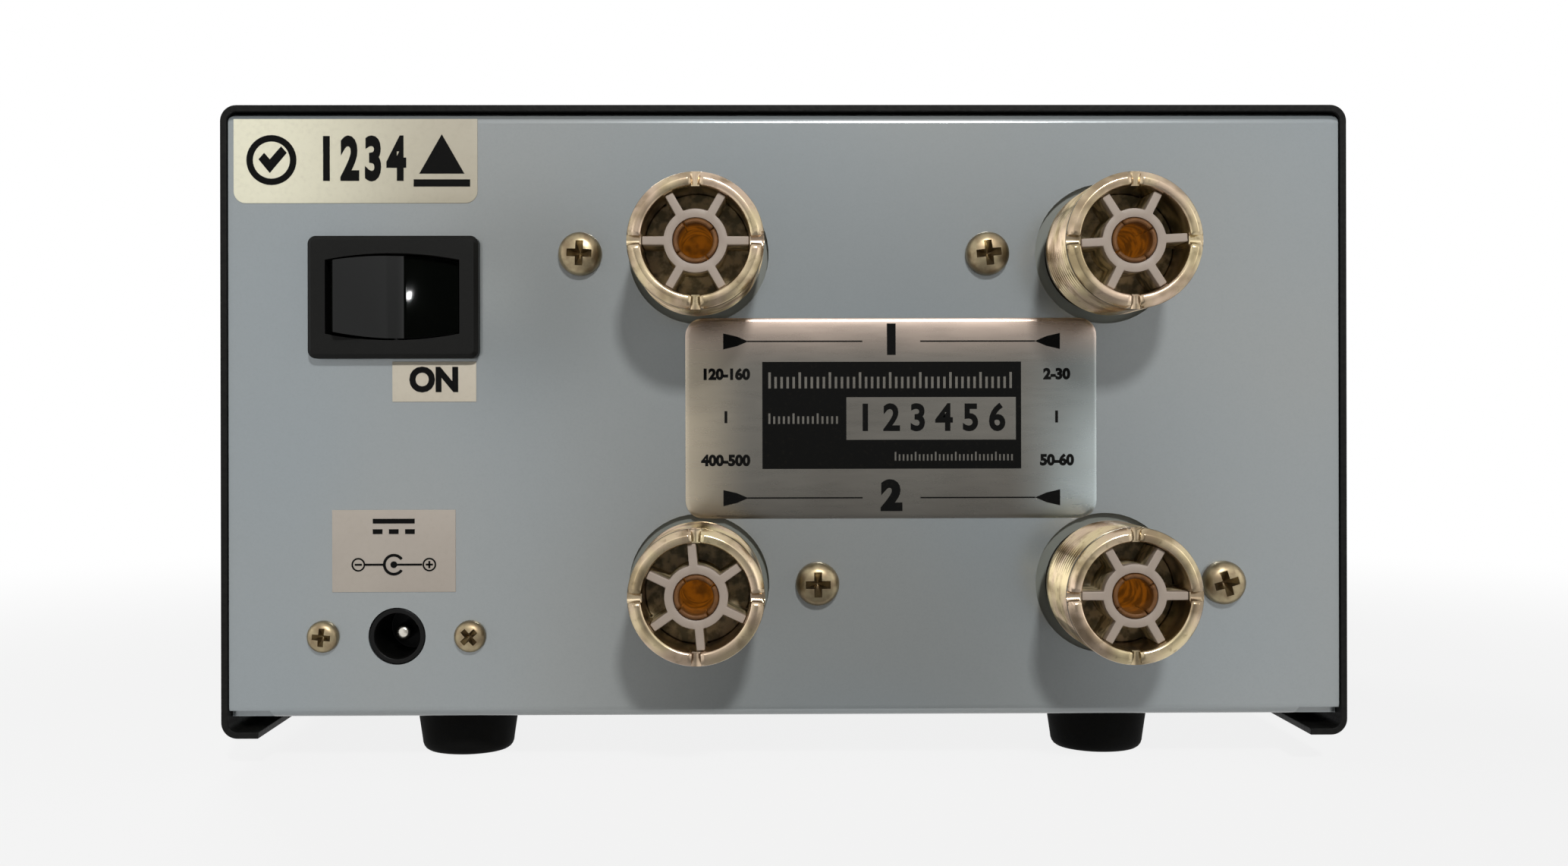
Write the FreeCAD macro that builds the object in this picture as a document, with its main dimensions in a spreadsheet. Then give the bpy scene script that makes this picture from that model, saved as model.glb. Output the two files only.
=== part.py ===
import FreeCAD, Part
import math
import os
from types import SimpleNamespace

import Sketcher
from FreeCAD import Vector

# A power and standing-wave meter for a radio bench, seen mostly from its rear panel.
# Millimetres. X runs to the right of someone who faces the display, Y runs from the
# display to the rear panel and Z runs up. The origin lies under the middle of the whole
# object, on the surface that its feet stand on.

SIZES = {
    # case
    "case_width": 140.0,
    "case_depth": 105.0,
    "cover_height": 78.5,
    "cover_drop": 2.5,
    "cover_sheet": 0.8,
    "cover_bend": 2.0,
    "cover_lip": 4.6,
    "cover_overhang": 0.4,
    "cover_gap": 0.1,
    "chassis_sheet": 1.0,
    "chassis_bend": 1.4,
    "panel_return": 8.0,
    "floor_return": 10.0,
    "floor_return_inset": 12.0,
    "side_screw_inset": 24.0,
    "side_screw_height": 6.0,
    "cable_way_width": 90.0,
    "cable_way_height": 28.8,
    "cable_way_corner": 3.0,
    "corner_notch_width": 5.0,
    "corner_notch_height": 0.9,
    # feet
    "foot_height": 6.5,
    "foot_top_radius": 6.8,
    "foot_bottom_radius": 5.9,
    "foot_spread": 83.5,
    "foot_rear_inset": 14.0,
    "foot_front_inset": 18.0,
    # screws
    "m3_radius": 1.5,
    "m3_head_radius": 2.75,
    "m3_head_height": 2.0,
    "m2_radius": 1.0,
    "m2_head_radius": 2.0,
    "m2_head_height": 1.4,
    "screw_clearance": 0.2,
    "thread_clearance": 0.05,
    "panel_screw_length": 8.0,
    "cover_screw_length": 5.0,
    "jack_screw_length": 7.0,
    # coaxial sockets and their two coupler boxes
    "socket_column_a": 10.75,
    "socket_column_b": -39.85,
    "socket_low": 23.0,
    "socket_high": 64.0,
    "socket_reach": 16.0,
    "barrel_radius": 7.94,
    "rim_chamfer": 0.7,
    "undercut_radius": 7.1,
    "undercut_length": 2.6,
    "mouth_radius": 6.25,
    "mouth_depth": 7.5,
    "rim_notch_count": 4.0,
    "rim_notch_width": 1.1,
    "rim_notch_depth": 0.8,
    "flange_side": 25.0,
    "flange_thickness": 3.0,
    "insulator_gap": 0.05,
    "insulator_tail": 1.5,
    "hub_radius": 3.7,
    "hub_recess": 0.8,
    "spoke_count": 6.0,
    "spoke_width": 1.0,
    "spoke_turn_a_low": 35.0,
    "spoke_turn_b_high": 3.0,
    "contact_radius": 2.6,
    "contact_bore_radius": 2.0,
    "contact_bore_depth": 14.0,
    "contact_recess": 0.6,
    "contact_stub": 2.0,
    "panel_hole_radius": 8.7,
    "coupler_screw_offset": 14.7,
    "box_width": 35.0,
    "box_depth": 26.0,
    "box_room": 0.5,
    "box_sheet": 0.8,
    "box_hole_clearance": 0.2,
    "lid_skirt": 3.5,
    "lid_gap": 0.1,
    "strip_width": 8.0,
    "strip_thickness": 1.0,
    "strip_overlap": 3.0,
    "strip_depth": 10.5,
    "core_outer_radius": 9.0,
    "core_inner_radius": 4.8,
    "core_height": 6.0,
    "sensor_board_height": 40.0,
    "board_thickness": 1.6,
    # supply jack
    "jack_x": 48.3,
    "jack_z": 16.6,
    "jack_body_radius": 3.45,
    "jack_hole_clearance": 0.1,
    "jack_bore_radius": 2.85,
    "jack_bore_depth": 10.0,
    "jack_pin_radius": 1.05,
    "jack_pin_recess": 3.3,
    "jack_housing_width": 11.0,
    "jack_housing_height": 10.0,
    "jack_housing_depth": 13.0,
    "jack_ear_width": 23.0,
    "jack_ear_height": 8.0,
    "jack_ear_thickness": 2.0,
    "jack_screw_spacing": 18.2,
    "nut_flats": 4.0,
    "nut_thickness": 1.6,
    # rocker switch
    "rocker_x": 48.4,
    "rocker_z": 58.6,
    "rocker_bezel_width": 21.0,
    "rocker_bezel_height": 15.1,
    "rocker_bezel_thickness": 2.0,
    "rocker_bezel_corner": 1.0,
    "rocker_bezel_bevel": 0.5,
    "rocker_body_width": 18.8,
    "rocker_body_height": 12.8,
    "rocker_body_depth": 14.0,
    "rocker_cutout_gap": 0.1,
    "rocker_well_depth": 9.2,
    "rocker_radius": 8.0,
    "rocker_gap": 0.25,
    "rocker_pivot_depth": 0.5,
    "rocker_tilt": 11.0,
    "rocker_crest_angle": 20.0,
    "rocker_valley": 1.1,
    "rocker_middle_height": 10.2,
    "rocker_end_height": 8.6,
    "rocker_underside": 3.0,
    "rocker_axle_radius": 1.0,
    "rocker_axle_clearance": 0.05,
    "rocker_axle_length": 12.0,
    "rocker_axle_end_gap": 0.15,
    "terminal_width": 4.8,
    "terminal_thickness": 0.8,
    "terminal_reach": 8.0,
    "terminal_pitch": 5.6,
    # front bezel, display and keys
    "bezel_rim_depth": 9.0,
    "bezel_depth": 14.0,
    "bezel_plate": 2.5,
    "bezel_wall": 2.0,
    "bezel_bevel": 1.6,
    "window_x": -14.0,
    "window_z": 44.0,
    "window_width": 90.0,
    "window_height": 48.0,
    "window_thickness": 1.5,
    "window_ledge": 1.5,
    "window_gap": 0.1,
    "display_gap": 0.3,
    "display_width": 88.0,
    "display_height": 46.0,
    "display_glass": 2.2,
    "backlight_thickness": 3.2,
    "front_board_width": 120.0,
    "front_board_gap": 0.3,
    "board_clip": 0.8,
    "board_clip_thickness": 1.2,
    "hook_x": 40.0,
    "hook_z": 34.0,
    "hook_width": 8.0,
    "hook_thickness": 1.6,
    "hook_barb": 0.8,
    "hook_tip": 1.2,
    "hook_gap": 0.1,
    "hook_post": 4.0,
    "keys_x": 50.0,
    "keys_z": 44.0,
    "key_pitch": 12.0,
    "key_width": 15.0,
    "key_height": 8.0,
    "key_gap": 0.2,
    "key_proud": 1.2,
    "key_flange": 1.0,
    "key_flange_thickness": 0.8,
    "key_seat_gap": 0.3,
    "key_travel": 0.5,
    "key_bevel": 0.5,
    "tact_side": 6.0,
    "tact_stem_side": 3.2,
    "tact_stem_length": 0.5,
    "tact_gap": 0.1,
    "processor_side": 12.0,
    "processor_height": 1.6,
    "processor_x": 25.0,
    "header_length": 26.0,
    "header_width": 5.0,
    "header_height": 3.4,
    "header_x": -15.0,
}

doc = FreeCAD.newDocument("power_meter")
sheet = doc.addObject("Spreadsheet::Sheet", "sizes")
for row, (alias, number) in enumerate(SIZES.items(), 1):
    sheet.set(f"A{row}", alias)
    sheet.set(f"B{row}", str(number))
    sheet.setAlias(f"B{row}", alias)
doc.recompute()


class Size:
    """A length, angle or count that knows its number and the sheet formula behind it."""

    def __init__(self, number, formula=None):
        self.number = float(number)
        self.formula = formula or f"{float(number):.6f}"

    @staticmethod
    def of(other):
        return other if isinstance(other, Size) else Size(other)

    def joined(self, other, sign, number):
        return Size(number, f"({self.formula} {sign} {other.formula})")

    def __add__(self, other):
        other = Size.of(other)
        return self.joined(other, "+", self.number + other.number)

    def __sub__(self, other):
        other = Size.of(other)
        return self.joined(other, "-", self.number - other.number)

    def __mul__(self, other):
        other = Size.of(other)
        return self.joined(other, "*", self.number * other.number)

    def __truediv__(self, other):
        other = Size.of(other)
        return self.joined(other, "/", self.number / other.number)

    def __radd__(self, other):
        return Size.of(other) + self

    def __rsub__(self, other):
        return Size.of(other) - self

    def __rmul__(self, other):
        return Size.of(other) * self

    def __neg__(self):
        return 0 - self


def cosine(angle):
    return Size(math.cos(math.radians(angle.number)), f"cos({angle.formula} * 1 deg)")


def sine(angle):
    return Size(math.sin(math.radians(angle.number)), f"sin({angle.formula} * 1 deg)")


def root(square):
    return Size(math.sqrt(square.number), f"sqrt({square.formula})")


s = SimpleNamespace(**{alias: Size(number, f"sizes.{alias}") for alias, number in SIZES.items()})

# Places that several pieces share. Depths run from the rear panel's outer face, y = 0.
FLOOR = s.foot_height
COVER_BOTTOM = FLOOR - s.cover_drop
COVER_TOP = COVER_BOTTOM + s.cover_height
PANEL_TOP = COVER_TOP - s.cover_sheet - s.cover_gap
CHASSIS_HALF = s.case_width / 2 - s.cover_sheet - s.cover_gap
# The chassis's upper corners are rounded to lie inside the cover's.
CHASSIS_CORNER = s.cover_bend - s.cover_sheet - s.cover_gap
FRONT = -s.case_depth
PLATE_BACK = FRONT + s.bezel_plate
SUBPANEL = FRONT + s.bezel_depth
DISPLAY_FACE = PLATE_BACK + s.display_gap
FRONT_BOARD = DISPLAY_FACE + s.display_glass + s.backlight_thickness
BOX_FACE = -s.chassis_sheet
FLANGE_FACE = BOX_FACE - s.box_sheet
FLANGE_BACK = FLANGE_FACE - s.flange_thickness
INSULATOR_BACK = FLANGE_BACK - s.insulator_tail
STRIP_FACE = BOX_FACE - s.strip_depth
STRIP_BACK = STRIP_FACE - s.strip_thickness
BOX_HEIGHT = s.socket_high - s.socket_low + s.flange_side + 2 * (s.box_room + s.box_sheet)
BOX_MIDDLE = (s.socket_low + s.socket_high) / 2
INNER_WIDTH = s.box_width - 2 * s.box_sheet
INNER_HEIGHT = BOX_HEIGHT - 2 * s.box_sheet
ROCKER_PIVOT = -s.rocker_pivot_depth
# The object's middle lies half way between the keys' faces and the sockets' rims.
REAR_FACE = (s.case_depth + s.key_proud - s.socket_reach) / 2
COLUMNS = {"a": s.socket_column_a, "b": s.socket_column_b}
LEVELS = {"low": s.socket_low, "high": s.socket_high}
SPOKE_TURNS = {"a_low": s.spoke_turn_a_low, "b_high": s.spoke_turn_b_high}
KEYS = {
    "power_key": s.keys_z + s.key_pitch * 3 / 2,
    "range_key": s.keys_z + s.key_pitch / 2,
    "mode_key": s.keys_z - s.key_pitch / 2,
    "light_key": s.keys_z - s.key_pitch * 3 / 2,
}
# How far a cut runs on past the far face of what it cuts.
SPARE = 1


def bind(thing, name, size):
    """Tie a property of a document object to the sheet."""
    thing.setExpression(name, Size.of(size).formula)


def put(thing, x=0, y=0, z=0):
    """Place a piece by its distance from the rear panel's face, and from the middle plane."""
    bind(thing, "Placement.Base.x", x)
    bind(thing, "Placement.Base.y", REAR_FACE + y)
    bind(thing, "Placement.Base.z", z)


def turn(thing, axis, angle):
    """Turn a piece about one of its own axes, before it is put in its place."""
    thing.Placement = FreeCAD.Placement(Vector(0, 0, 0), FreeCAD.Rotation(axis, angle.number))
    bind(thing, "Placement.Rotation.Angle", angle)


def new_body(label):
    body = doc.addObject("PartDesign::Body", label)
    body.Label = label
    return body


def new_sketch(body, plane, offset=0):
    """An empty sketch on one of the body's own planes, moved along the plane's normal."""
    role = f"{plane}_Plane"
    support = next(item for item in body.Origin.OriginFeatures if item.Role == role)
    sketch = body.newObject("Sketcher::SketchObject", f"{body.Name}_sketch")
    sketch.AttachmentSupport = (support, [""])
    sketch.MapMode = "FlatFace"
    bind(sketch, "AttachmentOffset.Base.z", offset)
    return sketch


def fix(sketch, curve, end, x, y):
    """Hold one point of a curve at its distances from the sketch's origin."""
    for kind, axis, distance in (("DistanceX", -2, x), ("DistanceY", -1, y)):
        if isinstance(distance, Size):
            rule = Sketcher.Constraint(kind, -1, 1, curve, end, distance.number)
            bind(sketch, f"Constraints[{sketch.addConstraint(rule)}]", distance)
        else:
            sketch.addConstraint(Sketcher.Constraint("PointOnObject", curve, end, axis))


def set_radius(sketch, curve, radius):
    rule = Sketcher.Constraint("Radius", curve, radius.number)
    bind(sketch, f"Constraints[{sketch.addConstraint(rule)}]", radius)


def circle(sketch, x, y, radius):
    centre = Vector(Size.of(x).number, Size.of(y).number, 0)
    curve = sketch.addGeometry(Part.Circle(centre, Vector(0, 0, 1), radius.number), False)
    fix(sketch, curve, 3, x, y)
    set_radius(sketch, curve, radius)


def flat(x, y):
    return Vector(Size.of(x).number, Size.of(y).number, 0)


def outline(sketch, corners, bows=None):
    """Close a loop through the corners.

    A corner is (x, y), or (x, y, radius) where two square sides meet in a round. bows gives
    the sides that are arcs: the number of the corner that starts the side, with its radius,
    which is negative where the arc bends to the right of the way it runs."""
    bows = bows or {}
    count = len(corners)
    spots = [flat(*corner[:2]) for corner in corners]
    ways = []
    for index, spot in enumerate(spots):
        way = spots[(index + 1) % count] - spot
        ways.append(way / way.Length)
    leaves, arrives, rounds = [], [], []
    for index, corner in enumerate(corners):
        x, y = corner[:2]
        radius = corner[2] if len(corner) > 2 else None
        came, goes = ways[index - 1], ways[index]
        if radius is None:
            arrives.append((x, y))
            leaves.append((x, y))
            rounds.append(None)
            continue
        arrives.append(shifted(x, y, came, radius, -1))
        leaves.append(shifted(x, y, goes, radius, 1))
        middle = spots[index] + (goes - came) * radius.number
        rounds.append((middle, radius, came.cross(goes).z > 0))
    sides = []
    for index in range(count):
        start, stop = leaves[index], arrives[(index + 1) % count]
        if index in bows:
            sides.append(add_bow(sketch, start, stop, bows[index]))
        else:
            line = Part.LineSegment(flat(*start), flat(*stop))
            sides.append((sketch.addGeometry(line, False), 1, 2))
    for index in range(count):
        curve, first, last = sides[index]
        before, unused, before_end = sides[index - 1]
        fix(sketch, curve, first, *leaves[index])
        if rounds[index] is None:
            sketch.addConstraint(Sketcher.Constraint("Coincident", before, before_end, curve, first))
            continue
        fix(sketch, before, before_end, *arrives[index])
        middle, radius, turns_left = rounds[index]
        ends = (flat(*arrives[index]), flat(*leaves[index]))
        arc, start, stop = add_arc(sketch, middle, radius, ends, turns_left)
        sketch.addConstraint(Sketcher.Constraint("Coincident", before, before_end, arc, start))
        sketch.addConstraint(Sketcher.Constraint("Coincident", arc, stop, curve, first))
        set_radius(sketch, arc, radius)


def shifted(x, y, way, distance, sign):
    """A corner's coordinates, moved along a square side."""
    if abs(way.x) > abs(way.y):
        return x + distance * round(way.x) * sign, y
    return x, y + distance * round(way.y) * sign


def add_arc(sketch, middle, radius, ends, turns_left):
    """An arc about middle, with the numbers of its first and last point."""
    ends = ends if turns_left else ends[::-1]
    angles = [math.atan2(end.y - middle.y, end.x - middle.x) for end in ends]
    round_curve = Part.Circle(middle, Vector(0, 0, 1), radius.number)
    curve = sketch.addGeometry(Part.ArcOfCircle(round_curve, *angles), False)
    return (curve, 1, 2) if turns_left else (curve, 2, 1)


def add_bow(sketch, start, stop, radius):
    """A side that is one arc of less than half a circle."""
    turns_left = radius.number > 0
    size = radius if turns_left else -radius
    ends = (flat(*start), flat(*stop))
    chord = ends[1] - ends[0]
    height = math.sqrt(size.number ** 2 - chord.Length ** 2 / 4)
    inward = Vector(-chord.y, chord.x, 0).normalize() * (1 if turns_left else -1)
    middle = (ends[0] + ends[1]) / 2 + inward * height
    curve, first, last = add_arc(sketch, middle, size, ends, turns_left)
    set_radius(sketch, curve, size)
    return curve, first, last


def rectangle(sketch, x, y, width, height, radius=None):
    """A rectangle about the point (x, y)."""
    left, right = x - width / 2, x + width / 2
    low, high = y - height / 2, y + height / 2
    corners = [(left, low), (right, low), (right, high), (left, high)]
    if radius is not None:
        corners = [(*corner, radius) for corner in corners]
    outline(sketch, corners)


def bent_strip(sketch, outside, sheet_size, bend):
    """The section of bent sheet metal, from the corners of its outer face.

    The way along the corners turns left at each bend, so the sheet lies to its left."""
    spots = [flat(*corner) for corner in outside]
    inside = []
    for index, (x, y) in enumerate(outside):
        if index > 0:
            way = (spots[index] - spots[index - 1]).normalize()
            x, y = shifted(x, y, Vector(-way.y, way.x, 0), sheet_size, 1)
        if index < len(outside) - 1:
            way = (spots[index + 1] - spots[index]).normalize()
            x, y = shifted(x, y, Vector(-way.y, way.x, 0), sheet_size, 1)
        inside.append((x, y))
    corners = [outside[0]]
    corners += [(*corner, bend) for corner in outside[1:-1]]
    corners += [outside[-1], inside[-1]]
    corners += [(*corner, bend - sheet_size) for corner in inside[-2:0:-1]]
    corners.append(inside[0])
    outline(sketch, corners)


def pad(sketch, length, side="One side", backwards=False):
    """Add the sketch's area, swept along its normal."""
    body = sketch.getParentGeoFeatureGroup()
    feature = body.newObject("PartDesign::Pad", f"{body.Name}_pad")
    feature.Profile = sketch
    feature.SideType = side
    feature.Reversed = backwards
    bind(feature, "Length", length)
    doc.recompute()
    return feature


def pocket(sketch, length=None, side="One side", backwards=False):
    """Cut the sketch's area, and stop where the cut takes nothing away."""
    body = sketch.getParentGeoFeatureGroup()
    doc.recompute()
    before = body.Shape.Volume
    feature = body.newObject("PartDesign::Pocket", f"{body.Name}_pocket")
    feature.Profile = sketch
    feature.SideType = side
    feature.Reversed = backwards
    if length is None:
        feature.Type = "ThroughAll"
    else:
        bind(feature, "Length", length)
    doc.recompute()
    if body.Shape.Volume >= before:
        raise RuntimeError(f"a pocket of {body.Label} cuts nothing")
    return feature


def revolve(sketch):
    """Add the sketch's area, turned once about its own vertical axis."""
    body = sketch.getParentGeoFeatureGroup()
    feature = body.newObject("PartDesign::Revolution", f"{body.Name}_revolution")
    feature.Profile = sketch
    feature.ReferenceAxis = (sketch, ["V_Axis"])
    feature.Angle = 360
    doc.recompute()


def edges_where(shape, test):
    """The names of the shape's edges whose boxes pass the test."""
    return [f"Edge{index}" for index, edge in enumerate(shape.Edges, 1) if test(edge.BoundBox)]


def bevel(body, size, test):
    """Bevel the edges of the body that pass the test."""
    doc.recompute()
    edges = edges_where(body.Tip.Shape, test)
    if not edges:
        raise RuntimeError(f"{body.Label} has no such edge to bevel")
    base = body.Tip
    feature = body.newObject("PartDesign::Chamfer", f"{body.Name}_bevel")
    feature.Base = (base, edges)
    bind(feature, "Size", size)
    doc.recompute()


def ring_pattern(body, feature, count):
    """Repeat a feature evenly round the body's own Y axis."""
    line = next(item for item in body.Origin.OriginFeatures if item.Role == "Y_Axis")
    pattern = body.newObject("PartDesign::PolarPattern", f"{body.Name}_pattern")
    pattern.Originals = [feature]
    pattern.Axis = (line, [""])
    pattern.Angle = 360
    bind(pattern, "Occurrences", count)
    body.Tip = pattern
    doc.recompute()


def near(number, size):
    return abs(number - Size.of(size).number) < 0.01


pieces = []


def keep(thing):
    """Count a document object as one of the pieces that are written out."""
    pieces.append(thing)


def copies_of(master, label, places, axis=Vector(0, 0, 1), angle=0):
    """Copies of one master piece, each turned and put in its place."""
    copies = []
    for x, y, z in places:
        copy = doc.addObject("App::Link", f"{label}_copy")
        copy.LinkedObject = master
        copy.Placement = FreeCAD.Placement(Vector(0, 0, 0), FreeCAD.Rotation(axis, angle))
        put(copy, x, y, z)
        copies.append(copy)
    return copies


def group(label, copies):
    """One node of separate solids."""
    together = doc.addObject("Part::Compound", label)
    together.Label = label
    together.Links = copies
    keep(together)


def screw(label, radius, head_radius, head_height, length):
    """A cheese-head screw whose head seats at z = 0 and whose shank runs down."""
    body = new_body(label)
    sketch = new_sketch(body, "XZ")
    corners = [
        (0, -length),
        (radius, -length),
        (radius, 0),
        (head_radius, 0),
        (head_radius, head_height),
        (0, head_height),
    ]
    outline(sketch, corners)
    revolve(sketch)
    return body


UP, ALONG, ACROSS = Vector(0, 0, 1), Vector(0, 1, 0), Vector(1, 0, 0)
HEAD_TO_REAR = (ACROSS, -90)


def m3_screw(label, length):
    return screw(label, s.m3_radius, s.m3_head_radius, s.m3_head_height, length)


M3_HOLE = s.m3_radius + s.screw_clearance
M3_TAPPED = s.m3_radius + s.thread_clearance
M2_HOLE = s.m2_radius + s.screw_clearance
SIDE_SCREW_HEIGHT = FLOOR + s.side_screw_height
SIDE_SCREW_DEPTHS = (-s.side_screw_inset, SUBPANEL + s.side_screw_inset)
# Each coupler box hangs on two panel screws: one beside its upper socket, one beside its lower.
COUPLER_SCREWS = {
    column: [(x + s.coupler_screw_offset, s.socket_high), (x - s.coupler_screw_offset, s.socket_low)]
    for column, x in COLUMNS.items()
}
JACK_SCREWS = [(s.jack_x + side * s.jack_screw_spacing / 2, s.jack_z) for side in (-1, 1)]
CORNERS = [(side, level) for side in (-1, 1) for level in (-1, 1)]
HOOK_SPOTS = [(side * s.hook_x, s.window_z + level * s.hook_z, level) for side, level in CORNERS]


def chassis():
    """Rear panel, floor and front subpanel, bent from one sheet, with returns on the edges."""
    body = new_body("chassis")
    section = new_sketch(body, "YZ", -CHASSIS_HALF)
    outside = [
        (SUBPANEL + s.panel_return, PANEL_TOP),
        (SUBPANEL, PANEL_TOP),
        (SUBPANEL, FLOOR),
        (0, FLOOR),
        (0, PANEL_TOP),
        (-s.panel_return, PANEL_TOP),
    ]
    bent_strip(section, outside, s.chassis_sheet, s.chassis_bend)
    pad(section, CHASSIS_HALF * 2)
    panel_returns = new_sketch(body, "XZ", s.chassis_sheet / 2)
    floor_returns = new_sketch(body, "XZ", s.floor_return_inset)
    panel_low = FLOOR + s.floor_return_inset
    panel_high = PANEL_TOP - s.chassis_bend
    for side in (-1, 1):
        middle = side * (CHASSIS_HALF - s.chassis_sheet / 2)
        height = panel_high - panel_low
        rectangle(panel_returns, middle, (panel_low + panel_high) / 2, s.chassis_sheet, height)
        half = s.floor_return / 2
        rectangle(floor_returns, middle, FLOOR + half, s.chassis_sheet, s.floor_return)
    pad(panel_returns, s.panel_return)
    pad(floor_returns, -SUBPANEL - 2 * s.floor_return_inset)

    openings = new_sketch(body, "XZ")
    for column, x in COLUMNS.items():
        for z in LEVELS.values():
            circle(openings, x, z, s.panel_hole_radius)
        for screw_x, z in COUPLER_SCREWS[column]:
            circle(openings, screw_x, z, M3_HOLE)
    circle(openings, s.jack_x, s.jack_z, s.jack_body_radius + s.jack_hole_clearance)
    for x, z in JACK_SCREWS:
        circle(openings, x, z, M2_HOLE)
    gap = 2 * s.rocker_cutout_gap
    width, height = s.rocker_body_width + gap, s.rocker_body_height + gap
    rectangle(openings, s.rocker_x, s.rocker_z, width, height)
    pocket(openings, s.chassis_sheet + SPARE, backwards=True)
    cut_corners(body)

    behind_bezel = new_sketch(body, "XZ", -SUBPANEL)
    way = (s.cable_way_width, s.cable_way_height, s.cable_way_corner)
    rectangle(behind_bezel, 0, s.window_z, *way)
    play = 2 * s.hook_gap
    for x, z, _ in HOOK_SPOTS:
        rectangle(behind_bezel, x, z, s.hook_width + play, s.hook_thickness + play)
    pocket(behind_bezel, s.chassis_sheet + SPARE)

    side_holes = new_sketch(body, "YZ")
    for depth in SIDE_SCREW_DEPTHS:
        circle(side_holes, depth, SIDE_SCREW_HEIGHT, M3_TAPPED)
    pocket(side_holes, side="Symmetric")
    put(body)
    keep(body)


def cut_corners(body):
    """Notch the rear panel's lower corners, and round the upper corners of the whole chassis."""
    notches = new_sketch(body, "XZ")
    rounds = new_sketch(body, "XZ")
    for side in (-1, 1):
        edge = side * (CHASSIS_HALF + SPARE)
        inner = side * (CHASSIS_HALF - s.corner_notch_width)
        slant = inner - side * s.corner_notch_height
        top = FLOOR + s.corner_notch_height
        below = FLOOR - SPARE
        outline(notches, [(edge, below), (edge, top), (inner, top), (slant, below)])
        start = side * (CHASSIS_HALF - CHASSIS_CORNER)
        low = PANEL_TOP - CHASSIS_CORNER
        above = PANEL_TOP + SPARE
        corners = [
            (start, above),
            (start, PANEL_TOP),
            (side * CHASSIS_HALF, low),
            (edge, low),
            (edge, above),
        ]
        outline(rounds, corners, bows={1: -side * CHASSIS_CORNER})
    pocket(notches, s.chassis_bend, backwards=True)
    pocket(rounds, backwards=True)


def top_cover():
    """Black painted sheet over the top and both sides, with lips turned in under the floor."""
    body = new_body("top_cover")
    section = new_sketch(body, "XZ", -s.cover_overhang)
    half = s.case_width / 2
    outside = [
        (half - s.cover_lip, COVER_BOTTOM),
        (half, COVER_BOTTOM),
        (half, COVER_TOP),
        (-half, COVER_TOP),
        (-half, COVER_BOTTOM),
        (-half + s.cover_lip, COVER_BOTTOM),
    ]
    bent_strip(section, outside, s.cover_sheet, s.cover_bend)
    pad(section, s.case_depth - s.bezel_rim_depth + s.cover_overhang)
    holes = new_sketch(body, "YZ")
    for depth in SIDE_SCREW_DEPTHS:
        circle(holes, depth, SIDE_SCREW_HEIGHT, M3_HOLE)
    pocket(holes, side="Symmetric")
    put(body)
    keep(body)


def feet():
    """Four tapered rubber feet, stuck to the chassis's floor."""
    foot = new_body("foot_master")
    section = new_sketch(foot, "XZ")
    corners = [
        (0, 0),
        (s.foot_bottom_radius, 0),
        (s.foot_top_radius, s.foot_height),
        (0, s.foot_height),
    ]
    outline(section, corners)
    revolve(section)
    places = [
        (side * s.foot_spread / 2, y, 0)
        for side in (-1, 1)
        for y in (-s.foot_rear_inset, FRONT + s.foot_front_inset)
    ]
    group("rubber_feet", copies_of(foot, "foot", places))


def case_screws():
    """The screws of the case: two in each side, and two that hold each coupler box."""
    master = m3_screw("cover_screw_master", s.cover_screw_length)
    copies = []
    for side in (-1, 1):
        places = [(side * s.case_width / 2, depth, SIDE_SCREW_HEIGHT) for depth in SIDE_SCREW_DEPTHS]
        copies += copies_of(master, "cover_screw", places, ALONG, side * 90)
    group("cover_screws", copies)
    master = m3_screw("panel_screw_master", s.panel_screw_length)
    places = [(x, 0, z) for spots in COUPLER_SCREWS.values() for x, z in spots]
    group("panel_screws", copies_of(master, "panel_screw", places, *HEAD_TO_REAR))


def socket_shell(label, x, z):
    """A nickel-plated socket shell: square flange, threaded barrel and a rim with four notches."""
    body = new_body(label)
    flange = new_sketch(body, "XZ", -FLANGE_FACE)
    rectangle(flange, 0, 0, s.flange_side, s.flange_side)
    pad(flange, s.flange_thickness)
    section = new_sketch(body, "XY")
    corners = [
        (s.mouth_radius, FLANGE_BACK),
        (s.undercut_radius, FLANGE_BACK),
        (s.undercut_radius, s.undercut_length),
        (s.barrel_radius, s.undercut_length),
        (s.barrel_radius, s.socket_reach - s.rim_chamfer),
        (s.barrel_radius - s.rim_chamfer, s.socket_reach),
        (s.mouth_radius, s.socket_reach),
    ]
    outline(section, corners)
    revolve(section)
    bore = new_sketch(body, "XZ", -FLANGE_FACE)
    circle(bore, 0, 0, s.mouth_radius)
    pocket(bore, s.flange_thickness + SPARE, backwards=True)
    notch = new_sketch(body, "XZ", -s.socket_reach)
    across = (s.mouth_radius + s.barrel_radius) / 2
    rectangle(notch, across, 0, s.barrel_radius - s.mouth_radius + SPARE, s.rim_notch_width)
    cut = pocket(notch, s.rim_notch_depth, backwards=True)
    ring_pattern(body, cut, s.rim_notch_count)
    put(body, x, 0, z)
    keep(body)


def socket_insulator(label, x, z, spoke_turn):
    """A moulded insulator: a plug in the shell, and a hub on spokes, bored for the contact."""
    body = new_body(label)
    section = new_sketch(body, "XY")
    plug = s.mouth_radius - s.insulator_gap
    bore = s.contact_radius + s.insulator_gap
    plug_face = s.socket_reach - s.mouth_depth
    front = s.socket_reach - s.hub_recess
    corners = [
        (bore, INSULATOR_BACK),
        (plug, INSULATOR_BACK),
        (plug, plug_face),
        (s.hub_radius, plug_face),
        (s.hub_radius, front),
        (bore, front),
    ]
    outline(section, corners)
    revolve(section)
    spoke = new_sketch(body, "XZ", -front)
    inner = (bore + s.hub_radius) / 2
    outer = plug - s.insulator_gap
    rectangle(spoke, (inner + outer) / 2, 0, outer - inner, s.spoke_width)
    one_spoke = pad(spoke, front - plug_face + SPARE)
    ring_pattern(body, one_spoke, s.spoke_count)
    turn(body, ALONG, spoke_turn)
    put(body, x, 0, z)
    keep(body)


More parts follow.
